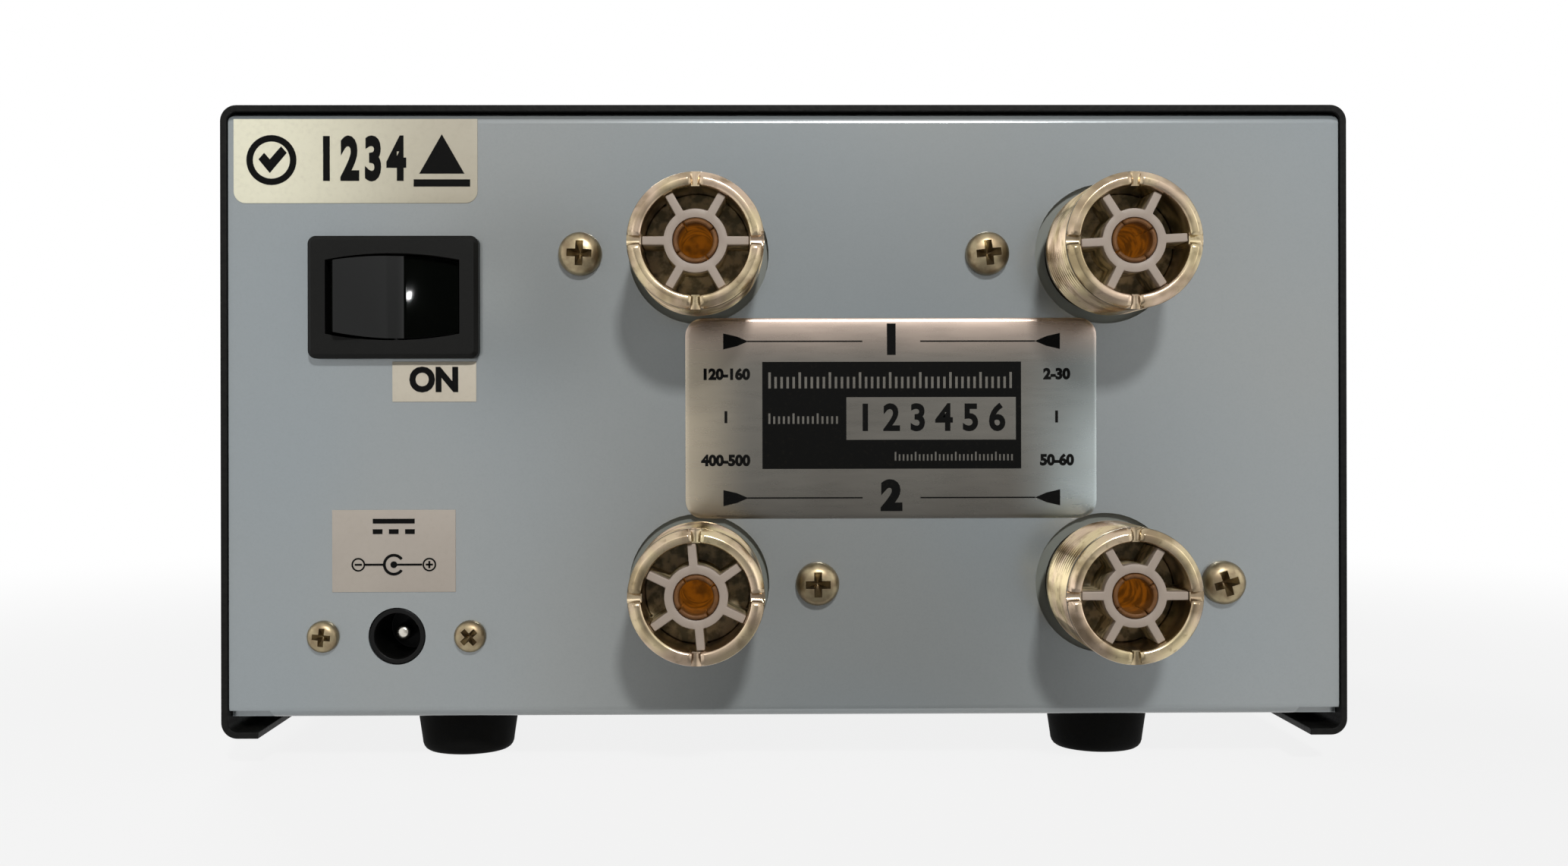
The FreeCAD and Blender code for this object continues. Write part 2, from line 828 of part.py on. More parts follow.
def socket_contact(label, x, z):
    """A gilt sleeve that takes the plug's pin, solid at the back where the strip line meets it."""
    body = new_body(label)
    section = new_sketch(body, "XY")
    front = s.socket_reach - s.contact_recess
    bore_floor = front - s.contact_bore_depth
    end = STRIP_BACK - s.contact_stub
    corners = [
        (0, end),
        (s.contact_radius, end),
        (s.contact_radius, front),
        (s.contact_bore_radius, front),
        (s.contact_bore_radius, bore_floor),
        (0, bore_floor),
    ]
    outline(section, corners)
    revolve(section)
    put(body, x, 0, z)
    keep(body)


def sockets():
    for column, x in COLUMNS.items():
        for level, z in LEVELS.items():
            name = f"{column}_{level}"
            socket_shell(f"socket_shell_{name}", x, z)
            socket_insulator(f"socket_insulator_{name}", x, z, SPOKE_TURNS.get(name, Size(0)))
            socket_contact(f"socket_contact_{name}", x, z)


def coupler(column, x):
    """One screened coupler: a tinplate box, its lid, and the line and sensor inside it.

    The two sockets' flanges lie inside the box, against its front wall."""
    box = new_body(f"coupler_box_{column}")
    outer = new_sketch(box, "XZ", -BOX_FACE)
    rectangle(outer, 0, 0, s.box_width, BOX_HEIGHT)
    pad(outer, s.box_depth)
    inner = new_sketch(box, "XZ", -FLANGE_FACE)
    rectangle(inner, 0, 0, INNER_WIDTH, INNER_HEIGHT)
    pocket(inner, s.box_depth, backwards=True)
    holes = new_sketch(box, "XZ", -BOX_FACE)
    for z in LEVELS.values():
        circle(holes, 0, z - BOX_MIDDLE, s.undercut_radius + s.box_hole_clearance)
    for screw_x, z in COUPLER_SCREWS[column]:
        circle(holes, screw_x - x, z - BOX_MIDDLE, M3_TAPPED)
    pocket(holes, s.box_sheet + SPARE, backwards=True)
    put(box, x, 0, BOX_MIDDLE)
    keep(box)

    lid = new_body(f"coupler_lid_{column}")
    plate = new_sketch(lid, "XZ")
    rectangle(plate, 0, 0, s.box_width, BOX_HEIGHT)
    pad(plate, s.box_sheet)
    skirt = new_sketch(lid, "XZ")
    fit = 2 * s.lid_gap
    rectangle(skirt, 0, 0, INNER_WIDTH - fit, INNER_HEIGHT - fit)
    wall = fit + 2 * s.box_sheet
    rectangle(skirt, 0, 0, INNER_WIDTH - wall, INNER_HEIGHT - wall)
    pad(skirt, s.lid_skirt, backwards=True)
    put(lid, x, BOX_FACE - s.box_depth, BOX_MIDDLE)
    keep(lid)

    strip = new_body(f"line_strip_{column}")
    shape = new_sketch(strip, "XZ")
    length = s.socket_high - s.socket_low + 2 * s.strip_overlap
    rectangle(shape, 0, 0, s.strip_width, length)
    for z in LEVELS.values():
        circle(shape, 0, z - BOX_MIDDLE, s.contact_radius + s.insulator_gap)
    pad(shape, s.strip_thickness)
    put(strip, x, STRIP_FACE, BOX_MIDDLE)
    keep(strip)

    core = new_body(f"sensor_core_{column}")
    section = new_sketch(core, "XZ")
    middle = (s.core_inner_radius + s.core_outer_radius) / 2
    rectangle(section, middle, 0, s.core_outer_radius - s.core_inner_radius, s.core_height)
    revolve(section)
    core_y = STRIP_FACE - s.strip_thickness / 2
    put(core, x, core_y, BOX_MIDDLE)
    keep(core)

    board = new_body(f"sensor_board_{column}")
    shape = new_sketch(board, "XZ")
    rectangle(shape, 0, 0, INNER_WIDTH, s.sensor_board_height)
    pad(shape, s.board_thickness)
    put(board, x, core_y - s.core_outer_radius, BOX_MIDDLE)
    keep(board)


def supply_jack():
    """The low-voltage jack behind the panel, with its pin, two screws and two nuts."""
    body = new_body("dc_jack_body")
    nose = new_sketch(body, "XZ", s.jack_hole_clearance)
    circle(nose, 0, 0, s.jack_body_radius)
    pad(nose, s.chassis_sheet)
    ears = new_sketch(body, "XZ", s.chassis_sheet)
    rectangle(ears, 0, 0, s.jack_ear_width, s.jack_ear_height)
    pad(ears, s.jack_ear_thickness)
    housing = new_sketch(body, "XZ", s.chassis_sheet)
    rectangle(housing, 0, 0, s.jack_housing_width, s.jack_housing_height)
    pad(housing, s.jack_housing_depth)
    bore = new_sketch(body, "XZ", s.jack_hole_clearance)
    circle(bore, 0, 0, s.jack_bore_radius)
    pocket(bore, s.jack_bore_depth, backwards=True)
    holes = new_sketch(body, "XZ", s.jack_hole_clearance)
    for side in (-1, 1):
        circle(holes, side * s.jack_screw_spacing / 2, 0, M2_HOLE)
    pocket(holes, s.chassis_sheet + s.jack_ear_thickness, backwards=True)
    put(body, s.jack_x, 0, s.jack_z)
    keep(body)

    pin = new_body("dc_jack_pin")
    section = new_sketch(pin, "XY")
    tip = -s.jack_pin_recess
    bore_floor = -s.jack_hole_clearance - s.jack_bore_depth
    radius = s.jack_pin_radius
    corners = [(0, bore_floor), (radius, bore_floor), (radius, tip), (0, tip)]
    outline(section, corners)
    revolve(section)
    put(pin, s.jack_x, 0, s.jack_z)
    keep(pin)

    head = (s.m2_head_radius, s.m2_head_height)
    master = screw("jack_screw_master", s.m2_radius, *head, s.jack_screw_length)
    places = [(x, 0, z) for x, z in JACK_SCREWS]
    group("dc_jack_screws", copies_of(master, "dc_jack_screw", places, *HEAD_TO_REAR))
    nut = new_body("nut_master")
    shape = new_sketch(nut, "XZ")
    half_flats = s.nut_flats / 2
    reach = half_flats / cosine(Size(30))
    right = [(reach / 2, -half_flats), (reach, 0), (reach / 2, half_flats)]
    left = [(-x, -z) for x, z in right]
    outline(shape, right + left)
    circle(shape, 0, 0, s.m2_radius + s.thread_clearance)
    pad(shape, s.nut_thickness)
    behind_ears = -s.chassis_sheet - s.jack_ear_thickness
    places = [(x, behind_ears, z) for x, z in JACK_SCREWS]
    group("dc_jack_nuts", copies_of(nut, "dc_jack_nut", places))


def boat(sketch, half_length, middle, end):
    """The rocker's plan: straight ends, and long sides that bulge in the middle."""
    half_end = end / 2
    rise = (middle - end) / 2
    bow = (half_length * half_length + rise * rise) / (2 * rise)
    corners = [
        (-half_length, -half_end),
        (half_length, -half_end),
        (half_length, half_end),
        (-half_length, half_end),
    ]
    outline(sketch, corners, bows={0: bow, 2: bow})


def rocker_switch():
    """A snap-in rocker switch: frame, see-saw button on its axle, and three tabs."""
    frame = new_body("rocker_frame")
    rim = new_sketch(frame, "XZ", -s.rocker_bezel_thickness)
    width, height = s.rocker_bezel_width, s.rocker_bezel_height
    rectangle(rim, 0, 0, width, height, s.rocker_bezel_corner)
    pad(rim, s.rocker_bezel_thickness)
    face = s.rocker_bezel_thickness
    bevel(frame, s.rocker_bezel_bevel, lambda edge: near(edge.YMin, face))
    block = new_sketch(frame, "XZ")
    rectangle(block, 0, 0, s.rocker_body_width, s.rocker_body_height)
    pad(block, s.rocker_body_depth)
    well = new_sketch(frame, "XZ", -s.rocker_bezel_thickness)
    gap = 2 * s.rocker_gap
    half_length = s.rocker_radius + s.rocker_gap
    boat(well, half_length, s.rocker_middle_height + gap, s.rocker_end_height + gap)
    pocket(well, s.rocker_bezel_thickness + s.rocker_well_depth, backwards=True)
    axle_hole = new_sketch(frame, "XY")
    circle(axle_hole, 0, ROCKER_PIVOT, s.rocker_axle_radius + s.rocker_axle_clearance)
    axle_room = s.rocker_axle_length + 2 * s.rocker_axle_end_gap
    pocket(axle_hole, axle_room, side="Symmetric")
    slots = new_sketch(frame, "XZ", s.rocker_well_depth)
    tab_gap = 2 * s.thread_clearance
    slot_size = (s.terminal_thickness + tab_gap, s.terminal_width + tab_gap)
    for number in (-1, 0, 1):
        rectangle(slots, number * s.terminal_pitch, 0, *slot_size)
    pocket(slots, s.rocker_body_depth, backwards=True)
    put(frame, s.rocker_x, 0, s.rocker_z)
    keep(frame)

    paddle = new_body("rocker_paddle")
    plan = new_sketch(paddle, "XZ")
    boat(plan, s.rocker_radius, s.rocker_middle_height, s.rocker_end_height)
    pad(plan, 2 * s.rocker_radius, side="Symmetric")
    trim = new_sketch(paddle, "XY")
    room = 2 * (s.rocker_radius + SPARE)
    rectangle(trim, 0, 0, room, room)
    crest_x = s.rocker_radius * cosine(s.rocker_crest_angle)
    crest_y = s.rocker_radius * sine(s.rocker_crest_angle)
    valley_y = crest_y - s.rocker_valley
    keel = s.rocker_underside
    keel_x = root(s.rocker_radius * s.rocker_radius - keel * keel)
    corners = [
        (crest_x, crest_y),
        (0, valley_y),
        (-crest_x, crest_y),
        (-keel_x, -keel),
        (keel_x, -keel),
    ]
    outline(trim, corners, bows={2: s.rocker_radius, 4: s.rocker_radius})
    pocket(trim, room, side="Symmetric")
    axle = new_sketch(paddle, "XY")
    circle(axle, 0, 0, s.rocker_axle_radius)
    pad(axle, s.rocker_axle_length, side="Symmetric")
    turn(paddle, UP, s.rocker_tilt)
    put(paddle, s.rocker_x, ROCKER_PIVOT, s.rocker_z)
    keep(paddle)

    tab = new_body("terminal_master")
    shape = new_sketch(tab, "XZ", s.rocker_well_depth)
    rectangle(shape, 0, 0, s.terminal_thickness, s.terminal_width)
    pad(shape, s.rocker_body_depth - s.rocker_well_depth + s.terminal_reach)
    places = [(s.rocker_x + number * s.terminal_pitch, 0, s.rocker_z) for number in (-1, 0, 1)]
    group("rocker_terminals", copies_of(tab, "rocker_terminal", places))


def front_bezel():
    """The moulded front: window and key openings, a rim, a spigot, and posts with hooks."""
    body = new_body("front_bezel")
    middle = (COVER_BOTTOM + COVER_TOP) / 2
    face = new_sketch(body, "XZ", s.case_depth)
    rectangle(face, 0, middle, s.case_width, s.cover_height, s.cover_bend)
    pad(face, s.bezel_rim_depth, backwards=True)
    bevel(body, s.bezel_bevel, lambda edge: near(edge.YMax, FRONT))
    spigot_middle = (FLOOR + PANEL_TOP) / 2
    spigot_height = PANEL_TOP - FLOOR
    spigot = new_sketch(body, "XZ", s.case_depth - s.bezel_rim_depth)
    rectangle(spigot, 0, spigot_middle, 2 * CHASSIS_HALF, spigot_height, s.cover_bend)
    pad(spigot, s.bezel_depth - s.bezel_rim_depth, backwards=True)
    hollow = new_sketch(body, "XZ", -SUBPANEL)
    walls = 2 * s.bezel_wall
    rectangle(hollow, 0, spigot_middle, 2 * CHASSIS_HALF - walls, spigot_height - walls)
    pocket(hollow, s.bezel_depth - s.bezel_plate, backwards=True)
    add_hooks(body)
    rebate = new_sketch(body, "XZ", s.case_depth)
    play = 2 * s.window_gap
    width, height = s.window_width + play, s.window_height + play
    rectangle(rebate, s.window_x, s.window_z, width, height, s.cover_bend)
    pocket(rebate, s.window_thickness)
    openings = new_sketch(body, "XZ", s.case_depth)
    ledges = 2 * s.window_ledge
    width, height = s.window_width - ledges, s.window_height - ledges
    rectangle(openings, s.window_x, s.window_z, width, height)
    for z in KEYS.values():
        rectangle(openings, s.keys_x, z, s.key_width, s.key_height)
    pocket(openings, s.bezel_plate + SPARE)
    put(body)
    keep(body)


def add_hooks(body):
    """Four posts behind the bezel's face, each with a clip and a hook.

    The clips hold the front board. The hooks snap through slots in the subpanel and grip
    its back."""
    posts = new_sketch(body, "XZ", -PLATE_BACK)
    clips = new_sketch(body, "XZ", -(FRONT_BOARD + s.board_thickness + s.hook_gap))
    hooks = new_sketch(body, "XZ", -SUBPANEL)
    barbs = new_sketch(body, "XZ", -(SUBPANEL + s.chassis_sheet + s.hook_gap))
    for x, z, level in HOOK_SPOTS:
        rectangle(posts, x, z, s.hook_width, s.hook_post)
        reach = s.front_board_gap + s.board_clip
        rectangle(clips, x, z - level * reach / 2, s.hook_width, s.hook_post + reach)
        rectangle(hooks, x, z, s.hook_width, s.hook_thickness)
        barb_z = z - level * s.hook_barb / 2
        rectangle(barbs, x, barb_z, s.hook_width, s.hook_thickness + s.hook_barb)
    pad(posts, SUBPANEL - PLATE_BACK, backwards=True)
    pad(clips, s.board_clip_thickness, backwards=True)
    pad(hooks, s.chassis_sheet + s.hook_gap + s.hook_tip, backwards=True)
    pad(barbs, s.hook_tip, backwards=True)


def front_key(label, z):
    """One push key: a cap that stands proud of the bezel, and a flange that stops it."""
    body = new_body(label)
    cap = new_sketch(body, "XZ", s.key_proud)
    gap = 2 * s.key_gap
    rectangle(cap, 0, 0, s.key_width - gap, s.key_height - gap)
    stop = s.bezel_plate + s.key_seat_gap
    pad(cap, s.key_proud + stop + s.key_flange_thickness, backwards=True)
    tip = -s.key_proud
    bevel(body, s.key_bevel, lambda edge: near(edge.YMax, tip))
    flange = new_sketch(body, "XZ", -stop)
    spread = 2 * s.key_flange
    rectangle(flange, 0, 0, s.key_width + spread, s.key_height + spread)
    pad(flange, s.key_flange_thickness, backwards=True)
    put(body, s.keys_x, FRONT, z)
    keep(body)


def display():
    """Window, display glass, backlight and the board that carries them with the key switches."""
    window = new_body("display_window")
    shape = new_sketch(window, "XZ")
    rectangle(shape, 0, 0, s.window_width, s.window_height, s.cover_bend)
    pad(shape, s.window_thickness, backwards=True)
    put(window, s.window_x, FRONT, s.window_z)
    keep(window)
    thicknesses = {"lcd_glass": s.display_glass, "lcd_backlight": s.backlight_thickness}
    depth = DISPLAY_FACE
    for label, thickness in thicknesses.items():
        layer = new_body(label)
        shape = new_sketch(layer, "XZ")
        rectangle(shape, 0, 0, s.display_width, s.display_height)
        pad(shape, thickness, backwards=True)
        put(layer, s.window_x, depth, s.window_z)
        keep(layer)
        depth = depth + thickness
    board = new_body("front_board")
    shape = new_sketch(board, "XZ")
    between_posts = 2 * (s.hook_z - s.hook_post / 2)
    rectangle(shape, 0, 0, s.front_board_width, between_posts - 2 * s.front_board_gap)
    pad(shape, s.board_thickness, backwards=True)
    put(board, 0, FRONT_BOARD, s.window_z)
    keep(board)
    key_switches()
    board_parts(FRONT_BOARD + s.board_thickness)


def key_switches():
    """One tact switch behind each key: its stem stands a little way off the key's flange."""
    tact = new_body("tact_master")
    key_back = s.bezel_plate + s.key_seat_gap + s.key_flange_thickness
    stem_tip = key_back + s.key_travel + s.tact_gap
    stem = new_sketch(tact, "XZ", -stem_tip)
    rectangle(stem, 0, 0, s.tact_stem_side, s.tact_stem_side)
    pad(stem, s.tact_stem_length, backwards=True)
    block_face = stem_tip + s.tact_stem_length
    block = new_sketch(tact, "XZ", -block_face)
    rectangle(block, 0, 0, s.tact_side, s.tact_side)
    pad(block, FRONT_BOARD - FRONT - block_face, backwards=True)
    places = [(s.keys_x, FRONT, z) for z in KEYS.values()]
    group("tact_switches", copies_of(tact, "tact_switch", places))


def board_parts(board_back):
    """The processor, and the header for the leads, on the back of the front board."""
    outlines = {
        "processor": (s.processor_x, s.processor_side, s.processor_side, s.processor_height),
        "header": (s.header_x, s.header_length, s.header_width, s.header_height),
    }
    blocks = []
    for name, (x, length, width, height) in outlines.items():
        block = doc.addObject("Part::Box", name)
        bind(block, "Length", length)
        bind(block, "Width", height)
        bind(block, "Height", width)
        put(block, x - length / 2, board_back, s.window_z - width / 2)
        blocks.append(block)
    group("board_components", blocks)


chassis()
top_cover()
feet()
case_screws()
sockets()
for column_name, column_x in COLUMNS.items():
    coupler(column_name, column_x)
supply_jack()
rocker_switch()
front_bezel()
for key_label, key_z in KEYS.items():
    front_key(key_label, key_z)
display()
doc.recompute()

for thing in doc.Objects:
    if "Invalid" in thing.State or "Error" in thing.State:
        raise RuntimeError(f"{thing.Label} did not compute: {thing.State}")
os.makedirs("parts", exist_ok=True)
for piece in pieces:
    shape = piece.Shape
    if shape.isNull() or not shape.isValid():
        raise RuntimeError(f"{piece.Label} has no valid shape")
    shape.exportStep(f"parts/{piece.Label}.step")
    print(piece.Label, len(shape.Solids), round(shape.Volume, 1))
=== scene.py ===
import math

import bmesh
import bpy
from mathutils import Matrix, Vector


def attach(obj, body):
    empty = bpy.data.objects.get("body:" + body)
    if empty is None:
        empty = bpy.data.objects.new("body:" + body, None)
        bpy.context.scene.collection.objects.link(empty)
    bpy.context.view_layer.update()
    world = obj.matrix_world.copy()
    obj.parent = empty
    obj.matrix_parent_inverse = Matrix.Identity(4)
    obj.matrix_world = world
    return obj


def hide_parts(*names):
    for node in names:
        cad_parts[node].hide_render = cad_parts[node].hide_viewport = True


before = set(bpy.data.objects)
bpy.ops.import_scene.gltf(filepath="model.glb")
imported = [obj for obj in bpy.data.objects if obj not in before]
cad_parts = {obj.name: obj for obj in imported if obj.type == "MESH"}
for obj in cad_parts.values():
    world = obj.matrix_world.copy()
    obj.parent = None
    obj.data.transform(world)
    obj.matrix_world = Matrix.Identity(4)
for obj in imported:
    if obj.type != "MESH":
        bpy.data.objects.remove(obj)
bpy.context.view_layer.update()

# Chassis: one sheet of steel bent into the floor, the rear panel and the front sub-panel,
# sprayed blue-grey with a little aluminium flake, so it mirrors the room softly. The paint lies
# smooth on the flats, with a fine orange peel close up, and rounds over every cut edge and hole.
MM = 0.001
WELD = 1e-6
FLAT_ANGLE = 0.6
CREASE_ANGLE = 32
PAINT_EDGE = 0.12


def tone(red, green, blue):
    """A colour as a paint chart gives it, 0 to 255, turned into the light that a shader takes."""
    shares = [value / 255 for value in (red, green, blue)]
    curve = [
        share / 12.92 if share <= 0.04045 else ((share + 0.055) / 1.055) ** 2.4 for share in shares
    ]
    return (*curve, 1.0)


class Signal:
    """One value that runs through a node tree. Python's arithmetic on it adds Math nodes."""

    def __init__(self, nodes, socket):
        self.nodes = nodes
        self.socket = socket

    def math(self, operation, *others):
        return self.nodes.add("ShaderNodeMath", (self, *others), operation=operation)

    def __add__(self, other):
        return self.math("ADD", other)

    __radd__ = __add__

    def __sub__(self, other):
        return self.math("SUBTRACT", other)

    def __rsub__(self, other):
        return self.nodes.add("ShaderNodeMath", (other, self), operation="SUBTRACT")

    def __mul__(self, other):
        return self.math("MULTIPLY", other)

    __rmul__ = __mul__

    def __truediv__(self, other):
        return self.math("DIVIDE", other)

    def __gt__(self, other):
        return self.math("GREATER_THAN", other)

    def __abs__(self):
        return self.math("ABSOLUTE")

    def __pow__(self, other):
        return self.math("POWER", other)

    def step(self, low, high):
        """0 below low, 1 above high, and a smooth slope between them."""
        inputs = (self, low, high)
        return self.nodes.add("ShaderNodeMapRange", inputs, interpolation_type="SMOOTHSTEP")

    def part(self, name):
        """Another output of the node that this signal leaves."""
        return Signal(self.nodes, self.socket.node.outputs[name])


class Nodes:
    """A node tree while it is being wired."""

    def __init__(self, tree):
        self.tree = tree

    def add(self, kind, inputs=(), output=0, **settings):
        """A node of that kind, its settings made first, then its sockets given values or links."""
        node = self.tree.nodes.new(kind)
        for name, value in settings.items():
            setattr(node, name, value)
        pairs = inputs.items() if isinstance(inputs, dict) else enumerate(inputs)
        for key, value in pairs:
            if isinstance(value, Signal):
                self.tree.links.new(value.socket, node.inputs[key])
            else:
                node.inputs[key].default_value = value
        return Signal(self, node.outputs[output]) if node.outputs else None


class Finish(Nodes):
    """A surface finish: a material whose patterns follow the object's own coordinates."""

    def __init__(self, name):
        self.material = bpy.data.materials.new(name)
        self.material.use_nodes = True
        self.material.node_tree.nodes.clear()
        super().__init__(self.material.node_tree)
        self.place = self.add("ShaderNodeTexCoord", output="Object")

    def along(self, axis):
        """How far out a point lies on the object's own X, Y or Z, in metres."""
        return self.add("ShaderNodeSeparateXYZ", {"Vector": self.place}, axis)

    def noise(self, size, detail=2.0, stretch=None):
        """Cloudy noise from 0 to 1, its blotches about size metres across, drawn out by stretch."""
        vector = self.place
        if stretch:
            scale = tuple(1 / amount for amount in stretch)
            vector = self.add("ShaderNodeMapping", {"Vector": self.place, "Scale": scale})
        inputs = {"Vector": vector, "Scale": 1 / size, "Detail": detail}
        return self.add("ShaderNodeTexNoise", inputs)

    def cells(self, size, feature="F1"):
        """The distance to the nearest of many scattered points, in cell sizes."""
        inputs = {"Vector": self.place, "Scale": 1 / size}
        return self.add("ShaderNodeTexVoronoi", inputs, feature=feature)

    def blend(self, share, first, second):
        """first where share is 0, second where it is 1."""
        return self.add("ShaderNodeMix", {0: share, 6: first, 7: second}, 2, data_type="RGBA")

    def relief(self, height, depth):
        """A bump whose height of 1 stands depth metres proud."""
        inputs = {"Height": height, "Distance": depth, "Strength": 1.0}
        return self.add("ShaderNodeBump", inputs)

    def close(self, **sockets):
        """Ends the finish in a Principled shader with these sockets, and returns the material."""
        named = {name.replace("_", " "): value for name, value in sockets.items()}
        shader = self.add("ShaderNodeBsdfPrincipled", named)
        self.add("ShaderNodeOutputMaterial", {"Surface": shader})
        return self.material


def applied(made):
    """The object's mesh with its modifiers worked in, which are then taken off it."""
    evaluated = made.evaluated_get(bpy.context.evaluated_depsgraph_get())
    mesh = bpy.data.meshes.new_from_object(evaluated)
    made.modifiers.clear()
    return mesh


def rounded_over(shape, low, high, size, segments, held=True):
    """Rounds the edges whose faces turn by between low and high degrees, size mm to each side.

    Where held is true, the rounding shrinks wherever it would meet another.
    """
    tenths = range(math.ceil(low * 10), math.ceil(high * 10))
    edges = [
        e for e in shape.edges
        if len(e.link_faces) == 2
        and math.ceil(math.degrees(e.calc_face_angle(0)) * 10) in tenths
    ]
    bmesh.ops.bevel(
        shape, geom=edges, offset=size * MM, segments=segments, profile=0.5, affect="EDGES",
        clamp_overlap=held,
    )


def finished(name, shape, crease=CREASE_ANGLE):
    """A bmesh made an object at the origin, smooth up to creases of that many degrees."""
    mesh = bpy.data.meshes.new(name)
    shape.to_mesh(mesh)
    shape.free()
    mesh.polygons.foreach_set("use_smooth", [True] * len(mesh.polygons))
    mesh.set_sharp_from_angle(angle=math.radians(crease))
    made = bpy.data.objects.new(name, mesh)
    bpy.context.scene.collection.objects.link(made)
    return made


def welded(node):
    """The loose triangles of a node's solid as one closed shape."""
    shape = bmesh.new()
    shape.from_mesh(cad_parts[node].data)
    bmesh.ops.remove_doubles(shape, verts=shape.verts, dist=WELD)
    return shape


def fitted(piece, node, finish=None, body="case"):
    """Coats a piece, has it ride on a body, and has it stand for the solid of that name."""
    if finish:
        piece.data.materials.append(finish)
    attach(piece, body)
    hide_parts(node)


def dressed(node, edge, name, finish, body="case", valley=None, merge=True):
    """A closed skin over a node's solid, its sharp edges rounded by edge mm, and its valleys too.

    Its flat triangles are merged into whole faces first, except where holes would cut those up.
    """
    shape = welded(node)
    if merge:
        flat = math.radians(FLAT_ANGLE)
        bmesh.ops.dissolve_limit(shape, angle_limit=flat, verts=shape.verts, edges=shape.edges)
    if valley:
        least_angle, size, segments = valley
        rounded_over(shape, least_angle, CREASE_ANGLE, size, segments)
    rounded_over(shape, CREASE_ANGLE, 181, edge, 2, merge)
    made = finished(name, shape)
    made.modifiers.new("evened", "WEIGHTED_NORMAL").keep_sharp = True
    made.data = applied(made)
    fitted(made, node, finish, body)


paint = Finish("panel_paint")
cloud = paint.noise(0.045, 1.0).step(0.3, 0.7)
peel = paint.noise(0.0009, 1.0)
grit = paint.noise(0.00025, 2.0)
paint_colour = paint.blend(cloud, tone(148, 156, 159), tone(153, 157, 156))
paint_colour = paint.blend(grit.step(0.35, 0.8) * 0.12, paint_colour, tone(128, 134, 137))
chassis_paint = paint.close(
    Base_Color=paint_colour,
    Metallic=0.3,
    Roughness=0.16 + grit * 0.06,
    Specular_IOR_Level=1.0,
    Normal=paint.relief(peel, 0.000006),
)
dressed("chassis", PAINT_EDGE, "painted_chassis", chassis_paint)

# Top cover: a steel sheet folded down both sides, with narrow lips turned in under the
# chassis. It is powder-coated black in a fine crinkle, with a trace of dust on it.
POWDER_EDGE = 0.15

powder = Finish("cover_crinkle_black")
crinkle = powder.cells(0.00055, "SMOOTH_F1")
dust = powder.noise(0.006, 4.0).step(0.5, 0.85)
powder_colour = powder.blend(crinkle.step(0.1, 0.7), tone(10, 10, 9), tone(19, 19, 17))
crinkle_black = powder.close(
    Base_Color=powder.blend(dust * 0.012, powder_colour, tone(120, 116, 108)),
    Roughness=0.5 + dust * 0.05,
    Specular_IOR_Level=0.12,
    Normal=powder.relief(crinkle, -0.00003),
)
dressed("top_cover", POWDER_EDGE, "coated_top_cover", crinkle_black)

# Rubber feet: four moulded cones, wider at the top, stuck under the chassis floor. The lower
# rim is rounded, the sole is slightly hollow, and the rubber is matt and a little dusty.
FOOT_PROFILE = [
    (0, 0.5), (3.6, 0.5), (4.0, 0.38), (4.3, 0.1), (4.6, 0.0), (4.95, 0.0), (5.32, 0.08),
    (5.62, 0.28), (5.84, 0.58), (5.97, 0.95), (6.02, 1.4), (6.7, 6.05), (6.74, 6.3), (6.6, 6.5),
    (0, 6.5),
]
FOOT_PLACES = [(x, y, 0) for x in (-41.75, 41.75) for y in (31.1, -41.9)]
ANY_TURN = 3.1


def bridged(shape, rings):
    """Adds the faces between each ring of points and the next. A ring of one point is a pole."""
    around = len(rings[0]) if len(rings[0]) > 1 else len(rings[1])
    for low, high in zip(rings, rings[1:]):
        for step in range(around):
            after = (step + 1) % around
            corners = [low[step % len(low)], low[after % len(low)]]
            corners += [high[after % len(high)], high[step % len(high)]]
            shape.faces.new(list(dict.fromkeys(corners)))


def turned(profile, around=64):
    """A shape turned on a lathe about Z, from (radius, height) in millimetres, pole to pole."""
    shape = bmesh.new()
    rings = []
    for radius, height in profile:
        steps = around if radius else 1
        turns = [2 * math.pi * step / around for step in range(steps)]
        ring = [(radius * math.cos(turn), radius * math.sin(turn), height) for turn in turns]
        rings.append([shape.verts.new(Vector(place) * MM) for place in ring])
    bridged(shape, rings)
    bmesh.ops.recalc_face_normals(shape, faces=shape.faces)
    return shape


class Recipe(Nodes):
    """A Geometry Nodes tree with named inputs, run on a mesh and then taken away again."""

    def __init__(self, name, **kinds):
        tree = bpy.data.node_groups.new(name, "GeometryNodeTree")
        super().__init__(tree)
        sockets = tree.interface
        sockets.new_socket("Geometry", in_out="INPUT", socket_type="NodeSocketGeometry")
        self.keys = {}
        for label, kind in {**kinds, "Material": "Material"}.items():
            socket = sockets.new_socket(label, in_out="INPUT", socket_type="NodeSocket" + kind)
            self.keys[label] = socket.identifier
        sockets.new_socket("Geometry", in_out="OUTPUT", socket_type="NodeSocketGeometry")
        self.entry = tree.nodes.new("NodeGroupInput")
        self.exit = tree.nodes.new("NodeGroupOutput")

    def given(self, label):
        return Signal(self, self.entry.outputs[label])

    def close(self, geometry):
        """Ends the tree: instances made real, and the material set."""
        real = self.add("GeometryNodeRealizeInstances", {"Geometry": geometry})
        inputs = {"Geometry": real, "Material": self.given("Material")}
        done = self.add("GeometryNodeSetMaterial", inputs)
        self.tree.links.new(done.socket, self.exit.inputs[0])

    def run(self, name, mesh, **values):
        """The mesh that the tree makes of this one, as a plain object at the origin."""
        made = bpy.data.objects.new(name, mesh)
        bpy.context.scene.collection.objects.link(made)
        modifier = made.modifiers.new(self.tree.name, "NODES")
        modifier.node_group = self.tree
        for label, value in values.items():
            modifier[self.keys[label]] = value
        made.data = applied(made)
        made.data.name = name
        return made


